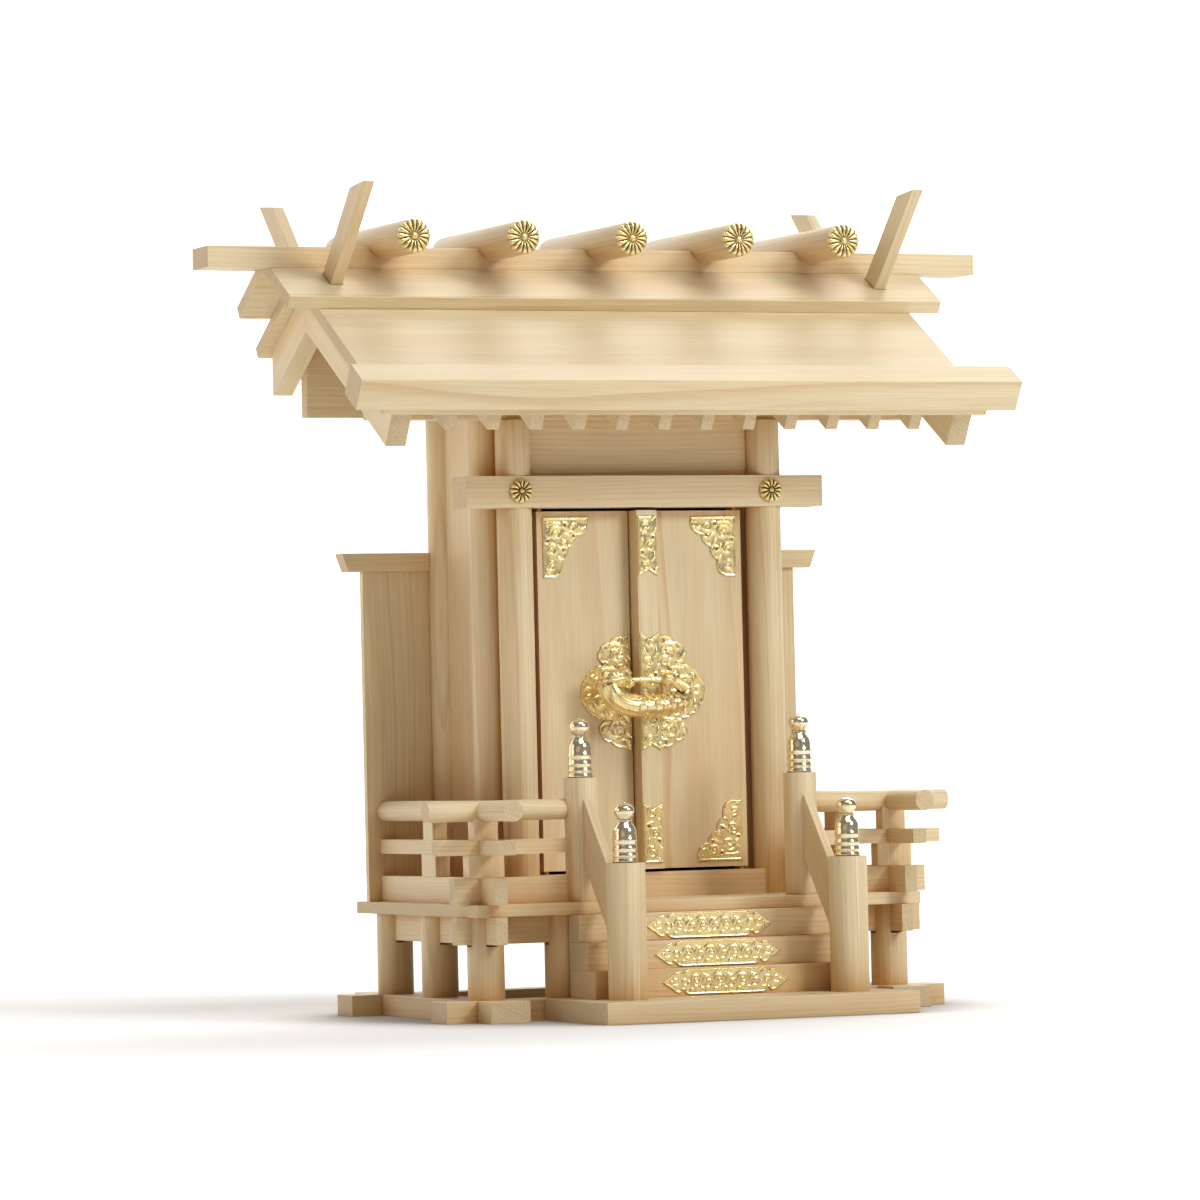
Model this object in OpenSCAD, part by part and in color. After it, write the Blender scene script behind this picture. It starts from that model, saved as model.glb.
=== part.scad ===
// Household altar shrine in pale cypress with gilt fittings.
// Gabled roof with crossed finials and ridge logs, round posts, paired doors,
// a railed deck on posts and a short stair. Millimetres, +Z up, front towards -Y.

/* [Roof] */
// Roof pitch in degrees
roof_pitch = 31; // [28:0.5:34]
// Height of the ridge beam's top above the ground
ridge_top = 445; // [435:1:460]
// Reach of the ridge beam past the ridge cover's ends
beam_over = 38; // [30:0.5:46]
// Width of the ridge beam, front to back
ridge_beam_w = 26; // [22:1:30]
// Height of the ridge beam
ridge_beam_h = 12.4; // [10:0.1:15]
// Reach of the ridge cover past the main roof's ends
cover_over = 19; // [14:0.5:24]
// Reach of the ridge cover down the slope
cover_run = 47; // [44:0.5:52]
// Thickness of the ridge cover boards
cover_t = 8; // [6:0.5:9]
// Length of the main roof boards
roof_len = 376; // [370:1:390]
// Reach of the front roof board down the slope
front_run = 164; // [160:1:170]
// Reach of the rear roof board down the slope
rear_run = 77; // [72:1:84]
// Thickness of the main roof boards
roof_t = 7; // [6:0.5:8]

/* [Eaves] */
// Reach of the eave bar past the main roof's ends
eave_over = 17.5; // [12:0.5:22]
// Width of the eave bar along the slope
eave_w = 20; // [17:0.5:23]
// Thickness of the eave bar square to the slope
eave_t = 19; // [16:0.5:21]
// Depth of the rebate that seats the eave bar in the roof board
eave_seat = 3; // [2:0.5:4]
// Distance that the eave bar stands out past the roof board's end
eave_lip = 2; // [1:0.5:4]
// Number of rafters
rafter_count = 12; // [8:1:14]
// Width of a rafter
rafter_w = 7.2; // [5:0.1:9]
// Height of a rafter square to the slope
rafter_h = 11; // [8:0.5:13]
// Gap between the bargeboards and the outer rafters
rafter_inset = 20.3; // [15:0.1:26]
// Set-back of the rafter ends from the roof board's end
rafter_setback = 3; // [1:0.5:8]

/* [Gables] */
// Distance of the bargeboards' outer faces inside the roof's ends
barge_inset = 7; // [4:0.5:12]
// Thickness of the bargeboards
barge_t = 12.2; // [9:0.1:14]
// Depth of the bargeboards square to the slope
barge_h = 22; // [18:0.5:26]
// Set-back of the front bargeboard ends from the roof board's end
barge_setback = 4; // [2:0.5:8]
// Distance of the rear bargeboard's plumb cut behind the ridge
barge_rear = 57; // [52:1:60]

/* [Crossed finials] */
// Distance of the finials' centres inside the ridge cover's ends
horn_inset = 34; // [28:0.5:40]
// Thickness of a finial arm
horn_t = 7; // [5:0.5:9]
// Width of a finial arm
horn_w = 14; // [11:0.5:16]
// Lean of the finial arms from upright in degrees
horn_lean = 45; // [40:0.5:48]
// Height of the finial tops above the ridge beam's top
horn_rise = 31.5; // [20:0.5:36]
// Distance from the ridge line at which an arm leaves the ridge cover
horn_foot = 24.5; // [22.5:0.5:27]
// Slope of the finial tops in degrees
horn_top_tilt = 5; // [0:0.5:10]
// Clearance round an arm in its slot
horn_gap = 0.4; // [0.2:0.1:0.8]

/* [Ridge logs] */
// Number of ridge logs
log_count = 5; // [3:1:5]
// Distance from a finial's centre to the outermost log's centre
log_clear = 37; // [30:0.5:44]
// Diameter of a ridge log
log_d = 19.8; // [16:0.2:22]
// Length of a ridge log
log_len = 118; // [100:1:130]
// Depth that a log is let down over the ridge beam
log_notch = 7; // [4:0.5:8]
// Thickness of the gilt cap on a log's front end
cap_t = 3; // [2:0.5:4]

/* [Body] */
// Diameter of the body's posts
post_d = 20.5; // [18:0.5:22]
// Gap between the closed doors and the front posts
door_side_gap = 4; // [3:0.1:6]
// Distance of the front posts in front of the ridge line
front_post_y = 61.3; // [60:0.1:64]
// Distance of the corner posts' centres outside the front posts' centres
body_post_step = 8.7; // [6:0.1:12]
// Distance of the front corner posts in front of the ridge line
mid_post_y = 40; // [38:0.5:40.5]
// Distance of the rear corner posts behind the ridge line
rear_post_y = 24; // [20:0.5:26]
// Thickness of the body's wall boards
wall_t = 6; // [4:0.5:8]
// Lap of the closed doors over the sides of the doorway
door_lap = 4.5; // [3:0.5:8]
// Depth of the flat seat that the rear purlin has in the rear posts
purlin_seat = 1.5; // [0.5:0.5:3]
// Thickness of the purlins
purlin_t = 9; // [7:0.5:11]
// Height of the front purlin's underside
front_purlin_z = 342; // [336:1:348]
// Height of the rear purlin's underside
rear_purlin_z = 349; // [336:1:356]

/* [Lintel and doors] */
// Reach of the lintel past the front posts' centres
lintel_reach = 33.7; // [28:0.1:40]
// Depth of the lintel, front to back
lintel_w = 21.2; // [18:0.2:24]
// Height of the lintel's underside
lintel_z = 291.3; // [285:0.1:300]
// Height of the lintel
lintel_h = 18.2; // [15:0.1:22]
// Height of the sill above the deck
sill_h = 14.3; // [12:0.1:16]
// Depth of the sill, front to back
sill_w = 18; // [16:0.5:22]
// Gap above and below a door leaf
door_gap = 1.8; // [1.2:0.1:2.4]
// Width over the two closed door leaves
doors_w = 129; // [126:0.5:131]
// Gap between the two door leaves
leaf_gap = 0.8; // [0.5:0.1:1.5]
// Thickness of a door leaf
door_t = 5.5; // [4:0.5:7]
// Distance of the doors' front face in front of the ridge line
door_face = 60; // [59:0.5:61]
// Width of the stile on the right leaf
stile_w = 12.8; // [10:0.2:15]
// Projection of the stile in front of the leaf
stile_t = 11; // [6:0.5:12]
// Diameter of the pivot pins
pin_d = 2.6; // [2:0.2:3]
// Running clearance round the pivot pins
pin_gap = 0.08; // [0.05:0.01:0.1]
// Depth of the pivot holes
pin_len = 8; // [6:0.5:10]
// Gap between a pivot pin's end and the bottom of its hole
pin_end_gap = 1; // [0.5:0.5:2]

/* [Deck] */
// Width of the deck outside the corner posts' centres
side_walk = 51.3; // [46:0.1:56]
// Distance of the deck's front edge from the ridge line
deck_front = 136; // [132:0.5:140]
// Distance of the deck's rear edge from the ridge line
deck_rear = 48.3; // [46:0.1:54]
// Height of the deck's top
deck_top = 66; // [60:1:72]
// Thickness of the deck
deck_t = 7; // [5:0.5:9]
// Diameter of the posts under the deck
pile_d = 21; // [18:0.5:24]
// Distance of the outer posts' centres inside the deck's sides
pile_inset = 12.8; // [11:0.1:16]
// Distance of the front posts' centres behind the deck's front edge
pile_set_back = 17.2; // [15:0.2:20]
// Spacing of the posts under the deck, front to back
pile_pitch = 69.6; // [64:0.2:72]
// Width of the deck beams
beam_w = 7; // [5:0.5:9]
// Height of the deck beams
beam_h = 15.5; // [12:0.5:18]
// Gap under the beams in the post heads
beam_drop = 1.2; // [0.5:0.1:2]
// Reach of the cross beams past the post centres
cross_reach = 18.7; // [14:0.1:22]
// Reach of the side beams past the front post centres
side_reach = 25.5; // [20:0.5:28]

/* [Base] */
// Height of the base rails
base_h = 12.2; // [10:0.1:15]
// Width of the base rails
base_w = 24; // [22:0.5:26]
// Reach of the cross rails past the side rails' outer faces
cross_rail_reach = 18.8; // [14:0.1:22]
// Distance of the rear cross rail's centre behind the ridge line
rear_rail_y = 28.2; // [22:0.2:32]
// Reach of the side rails past the cross rails' outer faces
side_rail_reach = 20; // [12:0.5:24]
// Gap between the stair platform and the side rails of the base
platform_gap = 16.7; // [12:0.1:20]
// Distance of the stair platform's front edge in front of the front stair posts' centres
platform_lip = 33.6; // [28:0.2:38]

/* [Stair] */
// Number of steps below the deck
step_count = 3; // [3:1:3]
// Reach of the steps past the stair posts' centres
step_reach = 11.6; // [10:0.1:14]
// Distance of the upper step's riser in front of the deck's edge
riser_gap = 10; // [6:0.5:12]
// Going of each step
step_run = 10.5; // [9:0.5:11]
// Distance of the stair posts' centres inside the front posts' centres
stair_post_inset = 10.35; // [8:0.05:12]
// Diameter of the front stair posts
front_newel_d = 22; // [18:0.5:23]
// Diameter of the rear stair posts
rear_newel_d = 19; // [16:0.5:20]
// Distance of the front stair posts' centres in front of the deck's edge
front_newel_gap = 50.4; // [48:0.2:56]
// Distance of the rear stair posts' centres behind the deck's edge
rear_newel_set_back = 10.6; // [10:0.2:13]
// Height of the front stair posts' tops
front_newel_top = 88.4; // [84:0.2:94]
// Height of the rear stair posts' tops
rear_newel_top = 136; // [130:0.5:140]
// Thickness of the stair's rail boards
stair_rail_t = 5; // [4:0.5:7]
// Plumb height of the stair's rail boards
stair_rail_h = 38; // [34:1:42]
// Drop of the rail boards' upper ends below the rear stair posts' tops
rail_drop_rear = 1; // [1:0.5:4]
// Drop of the rail boards' upper edge, at the front stair posts' middles, below those posts' tops
rail_drop_front = 26; // [22:0.5:30]

/* [Railing] */
// Distance of the side railing's middle inside the deck's sides
rail_inset = 11.5; // [9:0.1:14]
// Distance of the front railing's middle behind the deck's front edge
rail_set_back = 14; // [11:0.5:17]
// Diameter of the top rails
top_rail_d = 11.7; // [9:0.1:13]
// Height of the top rails' centre
top_rail_z = 118.6; // [114:0.2:122]
// Side of the square middle rails
mid_rail = 8.2; // [6:0.2:10]
// Height of the middle rails' centre
mid_rail_z = 98; // [96:0.5:100]
// Width of the bottom rails
low_rail_w = 7.5; // [6:0.5:9]
// Height of the bottom rails
low_rail_h = 15; // [12:0.5:16]
// Reach of the top rails' ends past the corner, front rail
top_reach_x = 34.9; // [30:0.5:38]
// Reach of the top rails' ends past the corner, side rail
top_reach_y = 45.7; // [40:0.5:48]
// Reach of the middle rails' ends past the corner, front rail
mid_reach_x = 29.5; // [24:0.5:32]
// Reach of the middle rails' ends past the corner, side rail
mid_reach_y = 38; // [32:0.5:40]
// Reach of the bottom rails' ends past the corner, front rail
low_reach_x = 19.5; // [14:0.5:22]
// Reach of the bottom rails' ends past the corner, side rail
low_reach_y = 25.5; // [20:0.5:28]
// Thickness of the struts
strut_t = 9; // [6:0.5:10]
// Width of a strut above the middle rail
strut_w = 14.5; // [10:0.5:16]
// Width of a strut below the middle rail
strut_low_w = 21.5; // [16:0.5:24]
// Distance of the side strut from the ridge line
side_strut_y = 49.4; // [46:0.2:52]

/* [Side screens] */
// Thickness of the screen panels
screen_t = 5; // [4:0.5:7]
// Distance of the screens' front face behind the ridge line
screen_y = 27; // [26:0.5:29]
// Height of the screen panels' tops
screen_top = 258.5; // [250:0.5:265]
// Height of the screens' caps
screen_cap_h = 10.7; // [8:0.1:13]
// Overhang of the caps past the panel's outer edge
screen_cap_over = 14; // [8:0.5:18]
// Undercut of the caps' outer ends
screen_cap_cut = 4; // [2:0.5:6]
// Depth of the caps, front to back
screen_cap_w = 12; // [9:0.5:16]

/* [Fittings] */
// Thickness of the gilt plates
plate_t = 1; // [0.6:0.1:1.5]
// Diameter of the flower studs on the lintel
stud_d = 14; // [11:0.5:16]
// Projection of the flower studs
stud_t = 4; // [2:0.5:6]
// Radius of the round door plate
medal_r = 34; // [30:0.5:36]
// Height of the round door plate's centre
medal_z = 184.5; // [180:0.5:190]
// Height of the corner plates
corner_h = 35; // [30:1:40]
// Width of the corner plates
corner_w = 29; // [22:1:32]
// Margin of the corner plates from the leaf's edges
corner_margin = 3.5; // [2:0.5:5]
// Width of the stile's plates
stile_plate_w = 12; // [9:0.5:12.5]
// Height of the stile's end plates
stile_plate_h = 34.5; // [28:0.5:38]
// Width of a step plate over its points
step_plate_w = 78; // [70:1:84]
// Height of a step plate
step_plate_h = 14.4; // [12:0.2:15]
// Height of the finials on the stair posts
finial_h = 34; // [30:0.5:38]
// Diameter of the finials' feet
finial_d = 14.4; // [12:0.2:17]
// Height of the underside of the lock's bar
lock_z = 189; // [186:0.5:192]
// Height of the lock's bar
lock_bar_h = 4; // [3:0.5:6]
// Distance between the ends of the lock's curved body
lock_span = 50; // [44:1:54]
// Sag of the lock's curved body below its ends
lock_sag = 14.5; // [12:0.5:17]
// Thickness of the lock's curved body
lock_d = 13; // [9:0.5:14]
// Gap between the lock's curved body and the stile's plate
lock_lift = 0.4; // [0.2:0.1:1]
// Diameter of the lock's knobs
lock_knob_d = 18; // [14:0.5:20]
// Place of the lock's middle, right of the middle line
lock_x = -3; // [-4:0.5:0]

/* [Hidden] */
$fn = 48;
cosp = cos(roof_pitch);
sinp = sin(roof_pitch);
tanp = tan(roof_pitch);
petals = 16;
over = 1; // Overshoot of the cutting bodies

// Lengths along the front, each from the one that carries it
cover_len = roof_len + 2 * cover_over;
eave_len = roof_len + 2 * eave_over;
ridge_beam_len = cover_len + 2 * beam_over;
barge_span = roof_len - 2 * barge_inset;
horn_span = cover_len - 2 * horn_inset;
log_pitch = (horn_span - 2 * log_clear) / max(1, log_count - 1);
front_post_x = (doors_w + post_d) / 2 + door_side_gap;
body_post_x = front_post_x + body_post_step;
doorway_w = doors_w - 2 * door_lap;
stair_post_x = front_post_x - stair_post_inset;
step_w = 2 * (stair_post_x + step_reach);
lintel_len = 2 * (front_post_x + lintel_reach);
deck_w = 2 * (body_post_x + side_walk);

ridge_beam_z = ridge_top - ridge_beam_h;
cover_apex = ridge_beam_z + tanp * ridge_beam_w / 2;
roof_apex = cover_apex - cover_t / cosp;
barge_x = barge_span / 2 - barge_t;
rafter_spread = 2 * (barge_x - rafter_inset);
pile_x = deck_w / 2 - pile_inset;
pile_front = deck_front - pile_set_back;
rail_x = deck_w / 2 - rail_inset;
rail_y = deck_front - rail_set_back;
screen_x = deck_w / 2;
front_newel_y = deck_front + front_newel_gap;
rear_newel_y = deck_front - rear_newel_set_back;
step_front = deck_front + riser_gap;
platform_front = front_newel_y + platform_lip;
front_rail_y = pile_front;
side_rail_x = pile_x + (pile_d - base_w) / 2;
platform_w = 2 * (side_rail_x - base_w / 2 - platform_gap);
cross_rail_len = 2 * (side_rail_x + base_w / 2 + cross_rail_reach);
platform_back = front_rail_y + base_w / 2;
deck_under = deck_top - deck_t;
beam_z = deck_under - beam_h;
step_h = (deck_under - base_h) / step_count;
pile_rear = pile_front - 2 * pile_pitch;
front_purlin_y = front_post_y - purlin_t / 2;
rear_purlin_y = rear_post_y + post_d / 2 - purlin_seat;
lintel_top = lintel_z + lintel_h;
lintel_back = front_post_y - lintel_w / 2;
sill_top = deck_top + sill_h;
leaf_z0 = sill_top + door_gap;
leaf_z1 = lintel_z - door_gap;
leaf_seam = -stile_w / 2 - leaf_gap / 2;
door_mid = door_face - door_t / 2;
hinge_x = doors_w / 2 - door_t / 2;
horn_top = ridge_top + horn_rise;
horn_foot_z = cover_apex - tanp * horn_foot;
horn_reach = horn_foot + (horn_top - horn_foot_z) * tan(horn_lean) + horn_w / 2 / cos(horn_lean);
rear_base = rear_rail_y + base_w / 2 + side_rail_reach;
rear_reach = max(horn_reach, rear_base);
// Place of the ridge line, so that the origin lies under the middle of the whole
ridge_y = (platform_front - rear_reach) / 2;

// A point s down the slope and n out from the roof's face, as [y, z]
function slope_point(side, s, n) =
    [side * (s * cosp + n * sinp), roof_apex - s * sinp + n * cosp];

// Height of a surface n below the roof's outer face, at distance y from the ridge
function roof_height(y, n) = roof_apex - tanp * abs(y) - n / cosp;

module box(x0, x1, y0, y1, z0, z1) {
    translate([x0, y0, z0]) cube([x1 - x0, y1 - y0, z1 - z0]);
}

module both_sides() {
    children();
    mirror([1, 0, 0]) children();
}

// A yz outline swept along x from x0 to x1
module sweep_x(x0, x1, outline) {
    translate([x0, 0, 0]) rotate([90, 0, 90]) linear_extrude(x1 - x0) polygon(outline);
}

// An xz outline with its face at y, swept t towards the front
module plate_front(y, t) {
    translate([0, y, 0]) rotate([90, 0, 0]) linear_extrude(t) children();
}

module upright(x, y, d, z0, z1) {
    translate([x, y, z0]) cylinder(h = z1 - z0, d = d);
}

module wood() {
    color("burlywood") children();
}

module gilt() {
    color("gold") children();
}

// Everything above a plane parallel to the roof, n below its outer face
module above_roof_plane(n) {
    reach = front_run + eave_w;
    for (side = [-1, 1])
        sweep_x(-eave_len, eave_len, [
            [0, roof_apex - n / cosp],
            slope_point(side, reach, -n),
            slope_point(side, reach, reach),
            [0, roof_apex + reach]
        ]);
}

module base_lap(x, y) {
    translate([x, y, base_h / 4]) cube([base_w, base_w, base_h / 2], center = true);
}

module cross_rail(y) {
    difference() {
        box(-cross_rail_len / 2, cross_rail_len / 2, y - base_w / 2, y + base_w / 2, 0, base_h);
        both_sides() base_lap(side_rail_x, y);
    }
}

module base_front_rail() {
    wood() cross_rail(-front_rail_y);
}

module base_rear_rail() {
    wood() cross_rail(rear_rail_y);
}

module base_side_rails() {
    y0 = -front_rail_y - base_w / 2 - side_rail_reach;
    wood() both_sides() difference() {
        box(side_rail_x - base_w / 2, side_rail_x + base_w / 2, y0, rear_base, 0, base_h);
        for (y = [-front_rail_y, rear_rail_y])
            translate([0, 0, base_h / 2]) base_lap(side_rail_x, y);
    }
}

module stair_platform() {
    wood() box(-platform_w / 2, platform_w / 2, -platform_front, -platform_back, 0, base_h);
}

// One solid step, counted down from the deck
module step_block(n) {
    y0 = -step_front - n * step_run;
    z1 = deck_under - n * step_h;
    wood() box(-step_w / 2, step_w / 2, y0, -platform_back, z1 - step_h, z1);
}

module upper_step() {
    step_block(0);
}

module middle_step() {
    step_block(1);
}

module lower_step() {
    step_block(2);
}

// A long plate with pointed, notched ends
module step_plate_outline() {
    half = step_plate_w / 2;
    h = step_plate_h / 2;
    difference() {
        union() {
            square([step_plate_w - 4 * h, step_plate_h], center = true);
            for (side = [-1, 1])
                polygon([[side * (half - 2 * h), h], [side * (half - h), h * 0.7], [side * half, 0],
                    [side * (half - h), -h * 0.7], [side * (half - 2 * h), -h]]);
        }
        for (x = [-1, 1], z = [-1, 1])
            translate([x * (half - 1.75 * h), z * h]) circle(r = h / 4, $fn = 16);
    }
}

module step_plates() {
    gilt() for (n = [0:step_count - 1])
        translate([0, 0, deck_under - (n + 0.5) * step_h])
            plate_front(-step_front - n * step_run, plate_t) step_plate_outline();
}

// A round post whose head is slotted for the beams that cross in it
module deck_post(x, y, side_beam, slot_out = pile_d) {
    difference() {
        upright(x, y, pile_d, base_h, deck_under);
        box(x - pile_d, x + slot_out, y - beam_w / 2, y + beam_w / 2, beam_z - beam_drop, deck_top);
        if (side_beam)
            box(x - beam_w / 2, x + beam_w / 2, y - pile_d, y + pile_d, beam_z - beam_drop, deck_top);
    }
}

module deck_posts() {
    wood() both_sides() {
        deck_post(pile_x, -pile_front, true);
        deck_post(pile_x, -pile_rear, true, beam_w / 2);
        deck_post(front_post_x, -pile_front, false);
        difference() {
            upright(pile_x, -pile_front + pile_pitch, pile_d, base_h, deck_under);
            box(pile_x - beam_w / 2, pile_x + beam_w / 2, -pile_front, 0, beam_z - beam_drop, deck_top);
        }
    }
}

module beam_crossings(z) {
    for (y = [-pile_front, -pile_rear])
        both_sides() translate([pile_x, y, z + beam_h / 4])
            cube([beam_w, beam_w, beam_h / 2], center = true);
}

module deck_side_beams() {
    wood() difference() {
        both_sides() box(pile_x - beam_w / 2, pile_x + beam_w / 2, -pile_front - side_reach,
            -pile_rear + cross_reach, beam_z, deck_under);
        beam_crossings(beam_z + beam_h / 2);
    }
}

module deck_cross_beams() {
    half = pile_x + cross_reach;
    half_rear = pile_x + beam_w / 2;
    wood() difference() {
        union() {
            box(-half, half, -pile_front - beam_w / 2, -pile_front + beam_w / 2, beam_z, deck_under);
            box(-half_rear, half_rear, -pile_rear - beam_w / 2, -pile_rear + beam_w / 2, beam_z, deck_under);
        }
        beam_crossings(beam_z);
    }
}

module deck_board() {
    wood() box(-deck_w / 2, deck_w / 2, -deck_front, deck_rear, deck_under, deck_top);
}

module rear_posts() {
    wood() difference() {
        both_sides() upright(body_post_x, rear_post_y, post_d, deck_top, roof_apex);
        box(-barge_span, barge_span, rear_purlin_y, rear_purlin_y + post_d, rear_purlin_z, roof_apex);
        above_roof_plane(roof_t);
    }
}

module middle_posts() {
    wood() difference() {
        both_sides() upright(body_post_x, -mid_post_y, post_d, deck_top, roof_apex);
        above_roof_plane(roof_t);
    }
}

module front_posts() {
    wood() both_sides() {
        upright(front_post_x, -front_post_y, post_d, deck_top, lintel_z);
        upright(front_post_x, -front_post_y, post_d, lintel_top, front_purlin_z);
    }
}

module body_post_cuts() {
    both_sides() {
        upright(body_post_x, rear_post_y, post_d, deck_top - over, roof_apex);
        upright(body_post_x, -mid_post_y, post_d, deck_top - over, roof_apex);
        upright(front_post_x, -front_post_y, post_d, deck_top - over, roof_apex);
    }
}

module side_walls() {
    wood() difference() {
        both_sides() box(body_post_x - wall_t / 2, body_post_x + wall_t / 2, -mid_post_y, rear_post_y,
            deck_top, roof_apex);
        body_post_cuts();
        above_roof_plane(roof_t);
    }
}

module back_wall() {
    wood() difference() {
        box(-body_post_x, body_post_x, rear_post_y - wall_t / 2, rear_post_y + wall_t / 2,
            deck_top, roof_apex);
        body_post_cuts();
        above_roof_plane(roof_t);
    }
}

// Jambs beside the doorway and the board above it, behind the doors
module front_wall() {
    half = body_post_x - post_d / 4;
    y1 = -lintel_back + wall_t;
    wood() difference() {
        union() {
            both_sides() box(doorway_w / 2, half, -lintel_back, y1, deck_top, lintel_z);
            box(-half, half, -lintel_back, y1, lintel_z, roof_apex);
        }
        body_post_cuts();
        above_roof_plane(roof_t);
    }
}

module door_sill() {
    half = front_post_x - post_d / 4;
    wood() difference() {
        box(-half, half, -lintel_back - sill_w, -lintel_back, deck_top, sill_top);
        body_post_cuts();
        pivot_holes(sill_top - pin_len);
    }
}

module pivot_holes(z) {
    both_sides() upright(hinge_x, -door_mid, pin_d + 2 * pin_gap, z, z + pin_len + over);
}

module lintel() {
    wood() difference() {
        box(-lintel_len / 2, lintel_len / 2, -lintel_back - lintel_w, -lintel_back, lintel_z, lintel_top);
        pivot_holes(lintel_z - over);
    }
}

// A flower disc with a ring of petals and a raised boss
module flower(d, t) {
    cylinder(h = t * 0.55, d = d * 0.86);
    for (i = [0:petals - 1])
        rotate(i * 360 / petals) translate([d * 0.41, 0, 0]) cylinder(h = t * 0.55, d = d * 0.18, $fn = 16);
    translate([0, 0, t * 0.55]) cylinder(h = t * 0.45, d1 = d * 0.5, d2 = d * 0.3);
}

module lintel_studs() {
    gilt() both_sides() translate([front_post_x, -lintel_back - lintel_w, lintel_z + lintel_h * 0.52])
        rotate([90, 0, 0]) flower(stud_d, stud_t);
}

module transom_panel() {
    wood() difference() {
        box(-front_post_x, front_post_x, -front_post_y, wall_t - front_post_y, lintel_top, front_purlin_z);
        body_post_cuts();
    }
}

module front_purlin() {
    wood() difference() {
        box(-barge_x, barge_x, -front_purlin_y - purlin_t, -front_purlin_y, front_purlin_z, roof_apex);
        above_roof_plane(roof_t + rafter_h);
    }
}

module rear_purlin() {
    wood() difference() {
        box(-barge_x, barge_x, rear_purlin_y, rear_purlin_y + purlin_t, rear_purlin_z, roof_apex);
        above_roof_plane(roof_t);
    }
}

module front_roof() {
    bar_back = front_run + eave_lip - eave_w;
    wood() sweep_x(-roof_len / 2, roof_len / 2, [
        [0, roof_apex],
        slope_point(-1, bar_back, 0),
        slope_point(-1, bar_back, -eave_seat),
        slope_point(-1, front_run, -eave_seat),
        slope_point(-1, front_run, -roof_t),
        [0, roof_apex - roof_t / cosp]
    ]);
}

module rear_roof() {
    wood() sweep_x(-roof_len / 2, roof_len / 2, [
        [0, roof_apex],
        slope_point(1, rear_run, 0),
        slope_point(1, rear_run, -roof_t),
        [0, roof_apex - roof_t / cosp]
    ]);
}

module eave_bar() {
    s1 = front_run + eave_lip;
    wood() sweep_x(-eave_len / 2, eave_len / 2, [
        slope_point(-1, s1 - eave_w, -eave_seat),
        slope_point(-1, s1, -eave_seat),
        slope_point(-1, s1, eave_t - eave_seat),
        slope_point(-1, s1 - eave_w, eave_t - eave_seat)
    ]);
}

module rafters() {
    pitch_x = (rafter_spread - rafter_w) / (rafter_count - 1);
    s1 = front_run - rafter_setback;
    low = roof_t + rafter_h;
    wood() for (i = [0:rafter_count - 1])
        translate([-rafter_spread / 2 + i * pitch_x, 0, 0]) sweep_x(0, rafter_w, [
            [-lintel_back, roof_height(lintel_back, roof_t)],
            slope_point(-1, s1, -roof_t),
            slope_point(-1, s1, -low),
            [-lintel_back, roof_height(lintel_back, low)]
        ]);
}

module front_bargeboards() {
    s1 = front_run - barge_setback;
    low = roof_t + barge_h;
    wood() both_sides() sweep_x(barge_x, barge_x + barge_t, [
        [0, roof_apex - roof_t / cosp],
        slope_point(-1, s1, -roof_t),
        slope_point(-1, s1, -low),
        [0, roof_apex - low / cosp]
    ]);
}

module rear_bargeboards() {
    low = roof_t + barge_h;
    wood() both_sides() sweep_x(barge_x, barge_x + barge_t, [
        [0, roof_apex - roof_t / cosp],
        [barge_rear, roof_height(barge_rear, roof_t)],
        [barge_rear, roof_height(barge_rear, low)],
        [0, roof_apex - low / cosp]
    ]);
}

// One finial arm leaning away from the ridge, with w added on every side
module horn_arm(side, x, grow) {
    c = cos(horn_lean);
    s = sin(horn_lean);
    half = horn_w / 2 + grow;
    foot = [side * horn_foot, horn_foot_z];
    along = [side * s, c];
    out = [side * c, -s];
    long = (horn_top - horn_foot_z) / c + horn_w;
    low = cover_t * 4;
    sweep_x(x - horn_t / 2 - grow, x + horn_t / 2 + grow, [
        foot - low * along - half * out,
        foot - low * along + half * out,
        foot + long * along + half * out,
        foot + long * along - half * out
    ]);
}

module crossed_finials() {
    up = ridge_top * 2;
    wood() for (side = [-1, 1]) both_sides() difference() {
        horn_arm(side, horn_span / 2, 0);
        mirror([0, side < 0 ? 1 : 0, 0]) translate([0, horn_reach, horn_top])
            rotate([horn_top_tilt, 0, 0])
            box(0, horn_span, -ridge_top, ridge_top, 0, ridge_top);
        sweep_x(0, horn_span,
            [[0, roof_apex], slope_point(side, rear_run, 0), [side * rear_run, 0], [0, 0]]);
        mirror([0, side < 0 ? 1 : 0, 0]) box(0, horn_span, -up, horn_foot / 4, 0, up);
    }
}

module cover_board(side) {
    wood() difference() {
        sweep_x(-cover_len / 2, cover_len / 2, [
            [0, roof_apex],
            [0, ridge_beam_z],
            [side * ridge_beam_w / 2, ridge_beam_z],
            slope_point(side, cover_run, cover_t),
            slope_point(side, cover_run, 0)
        ]);
        both_sides() horn_arm(side, horn_span / 2, horn_gap);
    }
}

module front_ridge_cover() {
    cover_board(-1);
}

module rear_ridge_cover() {
    cover_board(1);
}

module ridge_beam() {
    wood() box(-ridge_beam_len / 2, ridge_beam_len / 2, -ridge_beam_w / 2, ridge_beam_w / 2,
        ridge_beam_z, ridge_top);
}

function log_x(i) = (i - (log_count - 1) / 2) * log_pitch;
log_z = ridge_top - log_notch + log_d / 2;

module ridge_logs() {
    wood() for (i = [0:log_count - 1]) difference() {
        translate([log_x(i), 0, log_z]) rotate([90, 0, 0])
            cylinder(h = log_len, d = log_d, center = true);
        box(log_x(i) - log_d, log_x(i) + log_d, -ridge_beam_w / 2, ridge_beam_w / 2, 0, ridge_top);
    }
}

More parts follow.
